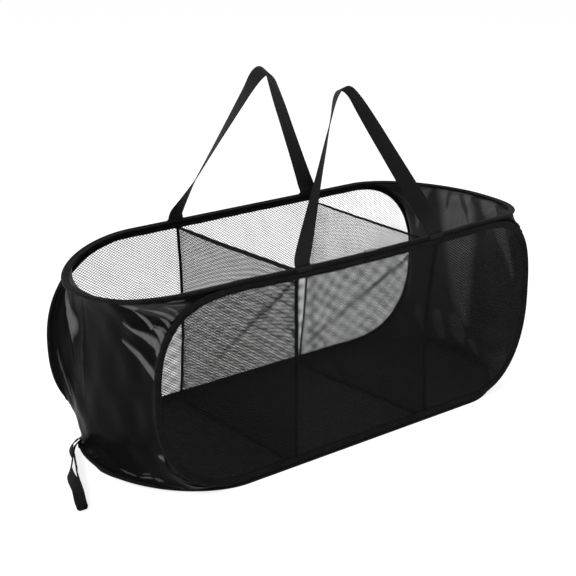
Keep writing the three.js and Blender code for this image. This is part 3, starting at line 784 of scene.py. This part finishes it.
# Each crease's ends, as shares of the half depth and of the top's level
DIVIDER_CREASES = {
    "left": (((-0.97, 0.94), (0.80, 0.13)), ((-1.0, 0.66), (-0.80, 0.72))),
    "right": (((-0.97, 0.99), (1.15, 0.03)), ((0.2, 0.02), (0.75, 0.24))),
}
CREASE_WIDTH = 3.6 * MM
CREASE_HEIGHT = 2.5 * MM


def beside_line(first, second, start, end):
    """The share along a straight line where each place lies beside it, and its distance from the line."""
    start, end = np.array(start, float), np.array(end, float)
    line = end - start
    share = ((first - start[0]) * line[0] + (second - start[1]) * line[1]) / (line @ line)
    held = np.clip(share, 0, 1)
    return share, np.hypot(first - start[0] - held * line[0], second - start[1] - held * line[1])


def crease(first, second, start, end, width):
    """How near points are to a straight crease between two places, fading towards its end."""
    share, gap = beside_line(first, second, start, end)
    fade = np.clip(1 - share, 0, 1) ** 0.5 * (share > -0.02)
    return np.exp(-(gap / width) ** 2) * fade


def through(values, share):
    """A smooth line through three values, at the shares 0, one half and 1."""
    low, middle, high = values
    return (low * (1 - share) * (1 - 2 * share) + middle * 4 * share * (1 - share)
            + high * share * (2 * share - 1))


def divider_place(side, across, up):
    """A place on a divider; across runs from front to back and up from the floor to its top edge."""
    edges = DIVIDER_EDGES[side]
    bow = eased(across)
    x = through(edges["front"], up) * (1 - bow) + through(edges["back"], up) * bow
    y = (2 * across - 1) * (HALF_DEPTH - DIVIDER_EDGE_GAP)
    drop = edges["drop"][0] * (1 - across) + edges["drop"][1] * across
    return np.stack([x, y, DIVIDER_FOOT + (TOP_LEVEL - drop - DIVIDER_FOOT) * up], -1)


def add_divider(side):
    """A mesh divider, pulled into slanting creases from its front."""
    share = np.linspace(0, 1, 130)
    across, up = np.meshgrid(share, share, indexing="ij")
    grid = divider_place(side, across, up)
    y, z = grid[..., 1], grid[..., 2]
    fullness = np.sin(math.pi * across) * np.sin(math.pi * up)
    grid[..., 0] += cloth_waves(y, z, 1.4 * MM, shortest=0.06, longest=0.25, count=8) * fullness
    tight = np.clip(cloth_waves(y, z, 0.05, shortest=0.03, longest=0.1, count=7), 0, 0.12)
    for ends in DIVIDER_CREASES[side]:
        start, end = [(a * HALF_DEPTH, b * TOP_LEVEL) for a, b in ends]
        line = crease(y, z, start, end, CREASE_WIDTH)
        tight = tight + 0.75 * line
        grid[..., 0] += CREASE_HEIGHT * line
    add_halves(f"{side}_divider", f"{side}_divider_mesh", grid, np.stack([y, z], -1), tight, keep=0.03,
               flat=(float(np.ptp(y)), float(np.ptp(z))), rests_on=[bands["top"], "floor_cloth"],
               slot="mesh_fabric", material=DIVIDER_MESH[side])


add_divider("left")
add_divider("right")


# The nylon ends

PULL = 2.9
CORNER_PULL = {"left": 0.0, "right": 0.5}
END_COUNT = 180
EDGE_GAP = 2.2 * MM
EDGE_OVERLAP = 1.6 * MM
LINING_GAP = {"left": -0.5 * MM, "right": 0.5 * MM}
# The outer layer's share of the painted highlight on each end
OUTER_PAINTED_HIGHLIGHT = {"left": 1.0, "right": 0.30}
PUCKER_COUNT = 110
STREAK_HEIGHT = 1.5 * MM


def pull(strength, share):
    """How much of a loop's reach the sheet keeps, from none at the far side to all at the loop."""
    return np.sinh(strength * share) / np.sinh(strength)


def end_surface(side, u, v):
    """Places on an end panel; u runs from the front loop to the back one, and v from bottom to top."""
    sign = 1 if side == "right" else -1
    strength = PULL + CORNER_PULL[side] * eased((v - 0.5) / 0.3) * eased((0.45 - u) / 0.3)
    x, away, lift = SEWN, {}, {}
    shares = {"bottom": (u, 1 - v), "top": (u, v), "front": (v, 1 - u), "back": (v, u)}
    for name, (round_loop, towards_loop) in shares.items():
        past, away[name] = end_curve(LOOPS[name], side, math.pi * (round_loop - 0.5))
        near = pull(strength, towards_loop)
        x = x + past * near
        lift[name] = lift_of(LOOPS[name], sign * (SEWN + past)) * near
    y = (away["bottom"] * (1 - v) + away["top"] * v) * (1 - EDGE_GAP / HALF_DEPTH)
    y = y + lift["front"] + lift["back"]
    tall = (TOP_LEVEL - BOTTOM_LEVEL) / 2 - EDGE_GAP
    low = HALF_HEIGHT + EDGE_OVERLAP
    half = low + (tall - low) * eased(np.minimum(u, 1 - u) / 0.05)
    z = (BOTTOM_LEVEL + TOP_LEVEL) / 2 + (away["front"] * (1 - u) + away["back"] * u) * half / HALF_HEIGHT
    z = z + lift["bottom"] + lift["top"]
    return np.stack([sign * x, y, z], -1)


def fold(u, v, start, end, width, height):
    """A long fold between two places, widest in its middle and pointed at its ends."""
    share, gap = beside_line(u, v, start, end)
    swell = np.sin(math.pi * np.clip(share, 0, 1) ** 0.8)
    return height * swell * np.exp(-(gap / (width * (0.35 + 0.65 * swell))) ** 2)


def stroke(u, v, start, end, width):
    """A pointed streak between two places; the first is its fine end."""
    share, gap = beside_line(u, v, start, end)
    reach = width / 2 * (0.25 + 0.75 * np.clip(share / 0.45, 0, 1))
    return np.clip((reach - gap) / (0.25 * width) + 0.5, 0, 1)


# Places on the ends run from the front loop to the back one, and from the bottom to the top

# Each painted highlight streak: its fine end, its broad end, its width and its share of painted highlight;
# the dark ones have a share below zero, which takes painted highlight away
LEFT_HIGHLIGHT_STREAKS = (
    ((0.34, 0.725), (-0.01, 0.640), 0.042, 0.95),
    ((0.365, 0.638), (0.125, 0.558), 0.034, 0.85),
    ((0.325, 0.900), (0.265, 0.874), 0.040, 0.80),
    ((0.30, 0.855), (0.165, 0.740), 0.022, 0.85),
    ((0.245, 0.868), (0.02, 0.776), 0.017, 0.85),
    ((0.15, 0.735), (0.00, 0.685), 0.034, 0.90),
    ((0.135, 0.870), (0.02, 0.806), 0.012, 0.70),
    ((0.125, 0.792), (0.00, 0.739), 0.014, 0.80),
    ((0.165, 0.752), (0.01, 0.719), 0.011, 0.65),
    ((0.13, 0.878), (0.03, 0.856), 0.012, 0.60),
    ((0.14, 0.914), (0.065, 0.902), 0.014, 0.55),
    ((0.33, 0.91), (0.04, 0.82), 0.100, 0.22),
    ((0.80, 0.69), (0.77, 0.655), 0.040, 0.60),
    ((0.755, 0.665), (0.695, 0.597), 0.080, 0.90),
    ((0.70, 0.54), (0.695, 0.605), 0.052, 0.75),
    ((0.89, 0.49), (0.858, 0.439), 0.018, 0.40),
    ((0.85, 0.46), (0.80, 0.345), 0.024, 0.42),
    ((0.61, 0.62), (0.64, 0.39), 0.010, 0.14),
    ((0.42, 0.120), (0.357, 0.122), 0.018, 0.50),
    ((0.333, 0.124), (0.29, 0.152), 0.016, 0.60),
    ((0.273, 0.156), (0.25, 0.162), 0.026, 0.60),
    ((0.327, 0.160), (0.29, 0.186), 0.010, 0.40),
    ((0.20, 0.327), (0.148, 0.331), 0.020, 0.90),
)
RIGHT_HIGHLIGHT_STREAKS = (
    ((0.48, 0.34), (0.60, 0.97), 0.150, 0.62),
    ((0.79, 0.62), (0.72, 0.97), 0.080, 0.50),
    ((0.19, 0.54), (0.40, 0.83), 0.080, 0.50),
    ((0.40, 0.74), (0.435, 0.90), 0.080, 0.45),
    ((0.57, 0.15), (0.61, 0.31), 0.055, 0.35),
    ((0.485, 0.18), (0.515, 0.32), 0.060, 0.35),
    ((0.385, 0.16), (0.427, 0.23), 0.045, 0.30),
    ((0.68, 0.20), (0.735, 0.30), 0.055, 0.30),
    ((0.50, 0.70), (0.50, 0.82), 0.030, 0.25),
    ((0.61, 0.75), (0.62, 0.96), 0.018, -0.45),
    ((0.495, 0.70), (0.565, 0.90), 0.024, -0.50),
    ((0.445, 0.74), (0.50, 0.90), 0.024, -0.60),
    ((0.335, 0.77), (0.385, 0.89), 0.036, -0.60),
    ((0.275, 0.80), (0.32, 0.88), 0.038, -0.60),
)

# Each fold: where it starts and ends, its width and its height
LEFT_FOLDS = (
    ((0.34, 0.75), (-0.02, 0.640), 0.022, 4.0 * MM),
    ((0.36, 0.655), (-0.02, 0.550), 0.017, 3.4 * MM),
    ((0.36, 0.93), (0.10, 0.73), 0.018, 3.6 * MM),
    ((0.27, 0.90), (0.02, 0.72), 0.009, 1.9 * MM),
    ((0.24, 0.95), (0.02, 0.80), 0.008, 1.8 * MM),
    ((0.20, 0.97), (0.02, 0.86), 0.007, 1.6 * MM),
    ((0.15, 0.985), (0.02, 0.91), 0.006, 1.3 * MM),
    ((0.68, 0.82), (0.70, 0.44), 0.030, 3.2 * MM),
    ((0.57, 0.78), (0.66, 0.34), 0.008, 1.4 * MM),
    ((0.88, 0.53), (0.70, 0.33), 0.014, 2.2 * MM),
    ((0.43, 0.00), (0.37, 0.17), 0.008, 1.8 * MM),
    ((0.36, 0.00), (0.31, 0.18), 0.008, 1.8 * MM),
    ((0.29, 0.01), (0.24, 0.20), 0.008, 1.8 * MM),
    ((0.17, 0.28), (0.10, 0.38), 0.012, 2.2 * MM),
)
RIGHT_FOLDS = (
    ((0.34, 0.99), (0.42, 0.62), 0.022, 3.0 * MM),
    ((0.50, 0.99), (0.52, 0.60), 0.024, 3.4 * MM),
    ((0.62, 0.99), (0.60, 0.66), 0.018, 2.6 * MM),
    ((0.74, 0.99), (0.72, 0.60), 0.024, 3.2 * MM),
    ((0.98, 0.80), (0.74, 0.62), 0.022, 3.0 * MM),
    ((0.02, 0.70), (0.22, 0.58), 0.024, 3.0 * MM),
    ((0.02, 0.22), (0.20, 0.34), 0.022, 2.6 * MM),
)


def edge_puckers(u, v, count):
    """Short seeded folds that leave the sewn edges squarely, and the corners aslant."""
    total = np.zeros_like(u)
    for _ in range(count):
        edge = random.integers(4)
        spot = random.uniform(0.02, 0.98)
        length = random.uniform(0.04, 0.15)
        slant = (0.5 - spot) * random.uniform(0.0, 0.25)
        starts = ((spot, 0.0), (spot, 1.0), (0.0, spot), (1.0, spot))
        steps = ((slant, length), (slant, -length), (length, slant), (-length, slant))
        start = np.array(starts[edge])
        end = start + np.array(steps[edge])
        start = start - (end - start) * 0.5
        width = random.uniform(0.006, 0.014)
        total += fold(u, v, start, end, width, random.uniform(0.5, 1.7) * MM)
    return total


def end_relief(u, v, folds):
    """How far an end's cloth stands off its even surface: puckers, folds and soft waves."""
    edge = np.minimum.reduce([u, 1 - u, v, 1 - v])
    height = edge_puckers(u, v, PUCKER_COUNT)
    for start, end, width, rise in folds:
        height += fold(u, v, start, end, width, rise)
    height *= np.clip(edge / 0.012, 0.15, 1)
    soft = cloth_waves(u, v, 1.3 * MM, shortest=0.12, longest=0.5, count=10)
    return height + soft * np.clip(edge / 0.03, 0, 1)


def unrolled(grid):
    """Each place's distances along the cloth from the front and from the bottom edge."""
    widths = np.linalg.norm(np.diff(grid, axis=0), axis=-1)
    heights = np.linalg.norm(np.diff(grid, axis=1), axis=-1)
    return np.stack([
        np.concatenate([np.zeros((1, END_COUNT)), np.cumsum(widths, 0)]),
        np.concatenate([np.zeros((END_COUNT, 1)), np.cumsum(heights, 1)], 1),
    ], -1)


def add_end(side, folds, highlight_streaks):
    """A nylon end, stretched between the four loops' round ends and puckered by its seams."""
    share = np.linspace(0, 1, END_COUNT)
    u, v = np.meshgrid(share, share, indexing="ij")
    grid = end_surface(side, u, v)
    outward = unit(np.cross(np.gradient(grid, axis=0), np.gradient(grid, axis=1)))
    if side == "left":
        outward = -outward
    height = end_relief(u, v, folds)
    # Painted highlight: each streak paints a paler grey into the nylon's colour and raises the cloth a
    # little; the dark ones take that highlight away and sink the cloth
    painted_highlight = np.zeros_like(u)
    for start, end, width, value in highlight_streaks:
        drawn = value * stroke(u, v, start, end, width)
        painted_highlight = np.maximum(painted_highlight, drawn) if value > 0 else np.clip(painted_highlight + drawn, 0, 1)
        height += STREAK_HEIGHT * drawn
    grid = grid + outward * height[..., None]
    cloth = unrolled(grid)
    flat = (float(cloth[-1, :, 0].mean()), float(cloth[:, -1, 1].mean()))
    add_halves(f"{side}_end_nylon", f"{side}_end_panel", grid, cloth, painted_highlight, keep=0.04, flat=flat,
               rests_on=list(bands.values()), lining=(LINING_GAP[side], OUTER_PAINTED_HIGHLIGHT[side]),
               slot="glossy_nylon")


add_end("left", LEFT_FOLDS, LEFT_HIGHLIGHT_STREAKS)
add_end("right", RIGHT_FOLDS, RIGHT_HIGHLIGHT_STREAKS)


# Tapes and seams

SEAM_WIDTHS = {
    "left": {"front": 7.6 * MM, "back": 5.5 * MM, "top": 7.5 * MM, "floor": 9 * MM},
    "right": {"front": 8.5 * MM, "back": 4.2 * MM, "top": 4.2 * MM, "floor": 9 * MM},
}
SEAM_THICKNESS = 2.0 * MM
SEAM_INSET = 1.6 * MM
FLOOR_SEAM_THICKNESS = 1.2 * MM
FLOOR_SEAM_LEVEL = 2.6 * MM
EDGE_TAPE_THICKNESS = 2.6 * MM


def strip(name, line, widthways, width, thickness, slot, body, node, taper=None, material=None):
    """A flat strip with softly rounded edges along a line of places. A taper narrows it along its length."""
    along = unit(np.gradient(line, axis=0))
    outs = unit(widthways - (widthways * along).sum(1)[:, None] * along)
    sides = np.cross(along, outs)
    half, thin = width / 2, thickness / 2
    edge = min(thin, half / 2)
    right = [(half - edge * 0.3, -thin * 0.8), (half, 0), (half - edge * 0.3, thin * 0.8)]
    middle = [(half * share, thin) for share in (0.85, 0.4, 0, -0.4, -0.85)]
    turned = [(-out, -side) for out, side in right + middle]
    section = np.repeat(np.array(right + middle + turned)[None], len(line), 0)
    if taper is not None:
        section[..., 0] *= taper[:, None]
    piece = sweep(name, line, outs, sides, section, slot, body, material=material)
    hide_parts(node)
    return piece


def round_band(centre, out, gap, first, last, count):
    """Places on an arc round a band, between two angles above its outward direction, in degrees."""
    turns = np.radians(np.linspace(first, last, count))[:, None]
    return centre + (HEAD + gap) * (out * np.cos(turns) + UPWARD * np.sin(turns))


def apart(line):
    """Tells which places of a line are apart from the one before."""
    steps = np.linalg.norm(np.diff(line, axis=0), axis=1)
    return np.concatenate([[True], steps > 0.3 * MM])


def add_seams(side):
    """The tapes where a divider meets the front, the back and the floor, and its top edge tape."""
    count = 60
    share = np.linspace(0, 1, count)
    widths = SEAM_WIDTHS[side]
    # The side and floor seam tapes take the darker tape, as painted shade
    for face, across, body in (("front", 0.0, "front_frame"), ("back", 1.0, "back_frame")):
        line = divider_place(side, np.full(count, across), 0.03 + 0.97 * share)
        line[:, 0] += waves(count, 0.5 * MM, most_turns=9)
        line[:, 1] = (HALF_DEPTH - SEAM_INSET) * (2 * across - 1)
        highest = UPPER_LEVEL - 5 * MM - (1 - across) * sag_of(line[:, 0])
        line[:, 2] = np.clip(line[:, 2], LOWER_LEVEL + 6 * MM, highest)
        kept = apart(line)
        strip(f"{side}_divider_{face}_tape", line[kept], SIDEWAYS, widths[face], SEAM_THICKNESS,
              "binding_tape", body, f"{side}_divider_{face}_seam", material=SHADED_SEAM_TAPE)
    line = divider_place(side, 0.04 + 0.92 * share, np.zeros(count))
    line[:, 0] += waves(count, 0.8 * MM, most_turns=9)
    line[:, 2] = FLOOR_SEAM_LEVEL
    strip(f"{side}_divider_floor_tape", line, SIDEWAYS, widths["floor"], FLOOR_SEAM_THICKNESS,
          "binding_tape", "base", f"{side}_divider_floor_seam", material=SHADED_SEAM_TAPE)
    line = divider_place(side, 0.02 + 0.96 * share, np.ones(count))
    line[:, 0] += waves(count, 0.4 * MM, most_turns=8)
    line[:, 2] += waves(count, 0.4 * MM, most_turns=8) - 1.5 * MM * np.sin(math.pi * share)
    taper = 0.55 + 0.45 * np.clip(share[::-1] * 6, 0, 1)
    strip(f"{side}_divider_top_tape", line, UPWARD, widths["top"], EDGE_TAPE_THICKNESS,
          "binding_tape", "top_rim", f"{side}_divider_edge_tape", taper=taper)


add_seams("left")
add_seams("right")


# The webbing handles

WEBBING_THICKNESS = 1.6 * MM
LAP_THICKNESS = 1.4 * MM
ROOT_LEVEL = HEAD + 2.6 * MM
ROOT_END_DROP = 0.5 * MM
ROOT_BEND = 8.0 * MM

# Each handle's roots along the rim, the top's height over them, the length of its bend and its place
# along the rim, its lean from upright, and its turn in quarters at shares of the way down to each root
HANDLES = {
    "front": {
        "side": -1,
        "roots": (-0.1396, 0.1436),
        "rise": 0.2618,
        "bend": 0.0560,
        "peak": 0.0008,
        "lean": math.radians(16.5),
        "left_turns": (
            (0, 0.06), (0.06, 0.19), (0.1, 0.27), (0.15, 0.33), (0.24, 0.39), (0.33, 0.47), (0.47, 0.55),
            (0.56, 0.62), (0.65, 0.70), (0.74, 0.79), (0.83, 0.89), (0.92, 0.97), (1, 1),
        ),
        "right_turns": (
            (0, 0.06), (0.06, -0.08), (0.11, 0.0), (0.16, 0.06), (0.26, 0.13), (0.35, 0.18),
            (0.45, 0.22), (0.55, 0.28), (0.7, 0.38), (0.85, 0.58), (1, 1),
        ),
    },
    "back": {
        "side": 1,
        "roots": (-0.1567, 0.1350),
        "rise": 0.2515,
        "bend": 0.0439,
        "peak": 0.0050,
        "lean": math.radians(-10.6),
        "left_turns": (
            (0, -0.17), (0.12, 0.095), (0.3, 0.218), (0.5, 0.339), (0.75, 0.453), (0.9, 0.72), (1, 1),
        ),
        "right_turns": (
            (0, -0.17), (0.12, -0.022), (0.3, 0.118), (0.5, 0.177), (0.75, 0.308), (0.92, 0.5), (1, 1),
        ),
    },
}


def read_shares(table, share):
    places, values = zip(*table)
    return np.interp(share, places, values)


def quadratic(start, middle, end, count):
    t = np.linspace(0, 1, count)[:, None]
    return (1 - t) ** 2 * start + 2 * t * (1 - t) * middle + t ** 2 * end


def handle_line(roots, rise, bend, peak, count):
    """A handle's line in its own plane: up from its left root, over the top and down, evenly spaced."""
    top = np.array([peak, rise + bend / 2 * rise / math.hypot(DIVIDER, rise)])
    straight = ROOT_BEND / 2
    rising, shoulders = [], []
    for x in roots:
        foot = np.array([x, ROOT_BEND])
        leg = (top - foot) / np.linalg.norm(top - foot)
        corner = quadratic(np.array([x, straight]), foot, foot + leg * (ROOT_BEND - straight), 12)
        rising.append(np.concatenate([[[x, -ROOT_END_DROP]], corner]))
        shoulders.append(top - leg * bend)
    path = np.concatenate([rising[0], quadratic(shoulders[0], top, shoulders[1], 41), rising[1][::-1]])
    return evenly(path, count)


def smoothed(values, passes=14):
    """Evens out a row of values, keeping its ends."""
    for _ in range(passes):
        values = np.concatenate([values[:1], (values[:-2] + 2 * values[1:-1] + values[2:]) / 4, values[-1:]])
    return values


def add_handle(name, side, roots, rise, bend, peak, lean, left_turns, right_turns):
    """A webbing strap that twists from its peak to its roots on the rim."""
    count = 181
    flat = handle_line(roots, rise, bend, peak, count)
    up = np.array([0, math.sin(lean), math.cos(lean)])
    face = np.array([0, math.cos(lean), -math.sin(lean)])
    drop = sag_of(roots[0]) if side < 0 else 0
    root = np.array([0, side * HALF_DEPTH, TOP_LEVEL + ROOT_LEVEL - drop])
    line = root + flat[:, :1] * SIDEWAYS + flat[:, 1:] * up
    tangent = unit(np.gradient(flat, axis=0))
    outer = -tangent[:, 1:] * SIDEWAYS + tangent[:, :1] * up
    share = np.linspace(-1, 1, count)
    turns = np.where(share < 0, read_shares(left_turns, -share), read_shares(right_turns, share))
    angle = smoothed(turns)[:, None] * math.pi / 2
    widthways = face * np.cos(angle) - outer * np.sin(angle)
    strap = strip(f"{name}_strap", line, widthways, WEBBING_WIDTH, WEBBING_THICKNESS, "webbing",
                  f"{name}_handle", f"{name}_handle")


def add_lap(name, side, end, x):
    """The sewn end of a strap, folded over the rim and a little down its outside."""
    drop = float(sag_of(x)) if side < 0 else 0
    centre = np.array([x, side * HALF_DEPTH, TOP_LEVEL - drop])
    line = round_band(centre, np.array([0, side, 0]), gap=1.2 * MM, first=118, last=-42, count=22)
    lap = strip(f"{name}_handle_{end}_lap", line, SIDEWAYS, WEBBING_WIDTH, LAP_THICKNESS, "webbing",
                "top_rim", f"{name}_handle_{end}_root")


for handle, values in HANDLES.items():
    for end, x in zip(("left", "right"), values["roots"]):
        add_lap(handle, values["side"], end, x)
    add_handle(handle, **values)


# The elastic closure loop

CLOSURE_LENGTH = 210 * MM
CLOSURE_WIDTH = 18 * MM
CLOSURE_THICKNESS = 1.2 * MM
CLOSURE_STRAIGHT = 3 * MM
CLOSURE_PLACE_SHARE = 0.57
CLOSURE_TAB_WIDTH = 16 * MM
GROUND_CLEARANCE = 0.3 * MM

# The way over the ground, as shares of the length outward from the hamper and onward along its edge
CLOSURE_ROUTE_SHARES = (
    (0, 0), (0.026, 0.03), (0.042, 0.1), (0.042, 0.24), (0.052, 0.48), (0.030, 0.70), (0.020, 0.88),
    (0.006, 0.99),
)

# Half the distance between the two runs, as shares of the width at shares of the way
CLOSURE_SPLIT_SHARES = (
    (0, 0.12), (0.1, 0.16), (0.2, 0.06), (0.32, 0.18), (0.46, 0.34), (0.6, 0.24), (0.75, 0.1), (1, 0.08),
)

# The two runs' turns from standing on edge to lying flat, as shares of a quarter at shares of the way
CLOSURE_LEFT_TURN_SHARES = (
    (0, 0.5), (0.1, 0.3), (0.19, 0.02), (0.34, 0.10), (0.46, 0.32), (0.6, 0.5), (0.78, 0.8), (1, 0.9),
)
CLOSURE_RIGHT_TURN_SHARES = (
    (0, 0.5), (0.1, 0.3), (0.19, 0.02), (0.55, 0.03), (0.68, 0.15), (0.85, 0.7), (1, 0.9),
)


def closure_place():
    """The loop's place on the bottom band, and its outward and onward directions."""
    loop = LOOPS["bottom"]
    squareness = loop["squareness"][1]
    reach = loop["reach"]["left"]
    past = reach * (1 - CLOSURE_PLACE_SHARE ** squareness) ** (1 / squareness)
    away = loop["half"] * CLOSURE_PLACE_SHARE
    out = np.array([-(past ** (squareness - 1)) / reach ** squareness,
                    away ** (squareness - 1) / loop["half"] ** squareness])
    out /= np.linalg.norm(out)
    return np.array([-(SEWN + past), away]), out, np.array([-out[1], out[0]])


def smooth_line(points, count):
    """A smooth line through points, evenly spaced."""
    points = np.asarray(points, float)
    padded = np.concatenate([[2 * points[0] - points[1]], points, [2 * points[-1] - points[-2]]])
    t = np.linspace(0, 1, 40, endpoint=False)[:, None]
    pieces = []
    for i in range(len(points) - 1):
        a, b, c, d = padded[i:i + 4]
        pieces.append(0.5 * (2 * b + (c - a) * t + (2 * a - 5 * b + 4 * c - d) * t ** 2
                             + (3 * b - a - 3 * c + d) * t ** 3))
    return evenly(np.concatenate([*pieces, points[-1:]]), count)


def add_closure_band(here, out, onward, rise):
    """The closure loop's elastic, laid out over the ground and back."""
    origin = here + out * (HEAD - 1.5 * MM + CLOSURE_STRAIGHT)
    route = [(*(origin + out * a * CLOSURE_LENGTH + onward * b * CLOSURE_LENGTH), 0)
             for a, b in CLOSURE_ROUTE_SHARES]
    count = 70
    centre = smooth_line(route, count)
    share = np.linspace(0, 1, count)
    along = unit(np.gradient(centre, axis=0))
    across = np.cross(along, UPWARD)
    left, right = [(read_shares(turns, share) * math.pi / 2)[:, None]
                   for turns in (CLOSURE_LEFT_TURN_SHARES, CLOSURE_RIGHT_TURN_SHARES)]
    face = across * np.cos(right) + UPWARD * np.sin(right)
    left_wide, right_wide = [UPWARD * np.cos(turn) - across * np.sin(turn) for turn in (left, right)]
    split = (read_shares(CLOSURE_SPLIT_SHARES, share) * CLOSURE_WIDTH)[:, None]
    lift = (CLOSURE_WIDTH / 2 * np.cos(right) + (split + CLOSURE_THICKNESS) * np.sin(right)
            + CLOSURE_THICKNESS / 2 + GROUND_CLEARANCE)
    centre = centre + UPWARD * (lift + rise * np.clip(1 - share / 0.35, 0, 1)[:, None] ** 2)
    ends = [centre[:1] - along[:1] * CLOSURE_STRAIGHT + sign * face[:1] * split[:1] for sign in (1, -1)]
    bend = np.linspace(0, math.pi, 14)[1:-1, None]
    tip = centre[-1:] + split[-1:] * (along[-1:] * np.sin(bend) + face[-1:] * np.cos(bend))
    line = np.concatenate([ends[0], centre + face * split, tip, (centre - face * split)[::-1], ends[1]])
    tip_wide = np.repeat(right_wide[-1:], len(tip), 0)
    widthways = np.concatenate([left_wide[:1], left_wide, tip_wide, right_wide[::-1], right_wide[:1]])
    spots = lengths(line)
    taper = 1 - 0.6 * np.exp(-((spots - spots[-1] / 2) / (6 * MM)) ** 2)
    band = strip("closure_elastic", line, widthways, CLOSURE_WIDTH, CLOSURE_THICKNESS, "elastic",
                 "closure_loop", "closure_loop", taper=taper)


def add_closure_tab(here, out, onward, rise):
    """The closure loop's tab, sewn round the bottom band."""
    centre = np.array([*here, BOTTOM_LEVEL + rise])
    line = round_band(centre, np.array([*out, 0]), gap=0.9 * MM, first=130, last=-50, count=16)
    tab = strip("closure_band", line, np.array([*onward, 0]), CLOSURE_TAB_WIDTH, CLOSURE_THICKNESS,
                "elastic", "base", "closure_tab")


here, out, onward = closure_place()
rise = float(lift_of(LOOPS["bottom"], here[0]))
add_closure_band(here, out, onward, rise)
add_closure_tab(here, out, onward, rise)

# The ferrules are rigid and stay as they are
for name in BODY_OF:
    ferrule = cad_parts[f"{name}_wire_ferrule"]
    ferrule.data.materials.clear()
    ferrule.data.materials.append(MATERIALS["spring_steel"])


# Floor, background and light

STAGE_GLOW = 0.82
WORLD_LIGHT = 0.55
STAGE_HALF_SIZE = 12.0

# Each lamp's direction from the hamper, its distance, its size and its power in watts
LAMPS = {
    "key": ((-0.85, -0.25, 0.60), 2.6, (1.5, 0.6), 50),
    "left_back": ((-0.17, 0.94, 0.06), 2.6, (0.5, 0.9), 12),
    "top": ((0.2, 0.1, 1.0), 2.6, (1.6, 1.6), 30),
    "right": ((0.9, -0.5, 0.5), 2.8, (0.9, 0.9), 16),
}


def stage_material():
    """White to the camera and in reflections, and otherwise a plain floor that keeps a soft shadow."""
    nodes = material_nodes("stage")
    glow = nodes.node("ShaderNodeEmission")
    nodes.join(STAGE_GLOW, glow.inputs["Strength"])
    plain = nodes.node("ShaderNodeBsdfDiffuse", (0.8, 0.8, 0.8, 1))
    faint = nodes.node("ShaderNodeBsdfDiffuse", (0.3, 0.3, 0.3, 1))
    bright = nodes.node("ShaderNodeAddShader", glow.outputs[0], faint.outputs[0])
    mix = nodes.node("ShaderNodeMixShader", nodes.seen_directly(), plain.outputs[0], bright.outputs[0])
    nodes.join(mix.outputs[0], nodes.output.inputs["Surface"])
    nodes.tree.nodes.remove(nodes.shader)
    return nodes.owner


def add_stage():
    """A wide plain floor under the hamper."""
    data = bpy.data.meshes.new("floor")
    size = STAGE_HALF_SIZE
    corners = [(-size, -size, 0), (size, -size, 0), (size, size, 0), (-size, size, 0)]
    data.from_pydata(corners, [], [(0, 1, 2, 3)])
    data.materials.append(stage_material())
    add_object("floor", data)


def add_world():
    """White behind the hamper and in reflections, and a softer light on it."""
    nodes = Nodes(bpy.data.worlds.new("studio"))
    bpy.context.scene.world = nodes.owner
    back = nodes.tree.nodes["Background"]
    nodes.join((1, 1, 1, 1), back.inputs["Color"])
    nodes.join(nodes.spread(nodes.seen_directly(), (0, 1), (WORLD_LIGHT, 1)), back.inputs["Strength"])


def add_lamp(name, direction, distance, size, watts):
    """A soft rectangular lamp that faces the hamper's centre."""
    data = bpy.data.lights.new(name, "AREA")
    data.energy = watts
    data.shape = "RECTANGLE"
    data.size, data.size_y = size
    lamp = add_object(name, data)
    way = Vector(direction).normalized()
    lamp.location = Vector((0, 0, MIDDLE)) + way * distance
    lamp.rotation_mode = "QUATERNION"
    lamp.rotation_quaternion = way.to_track_quat("Z", "Y")


add_stage()
add_world()
for name, lamp in LAMPS.items():
    add_lamp(name, *lamp)
bpy.context.scene.view_settings.view_transform = "Standard"
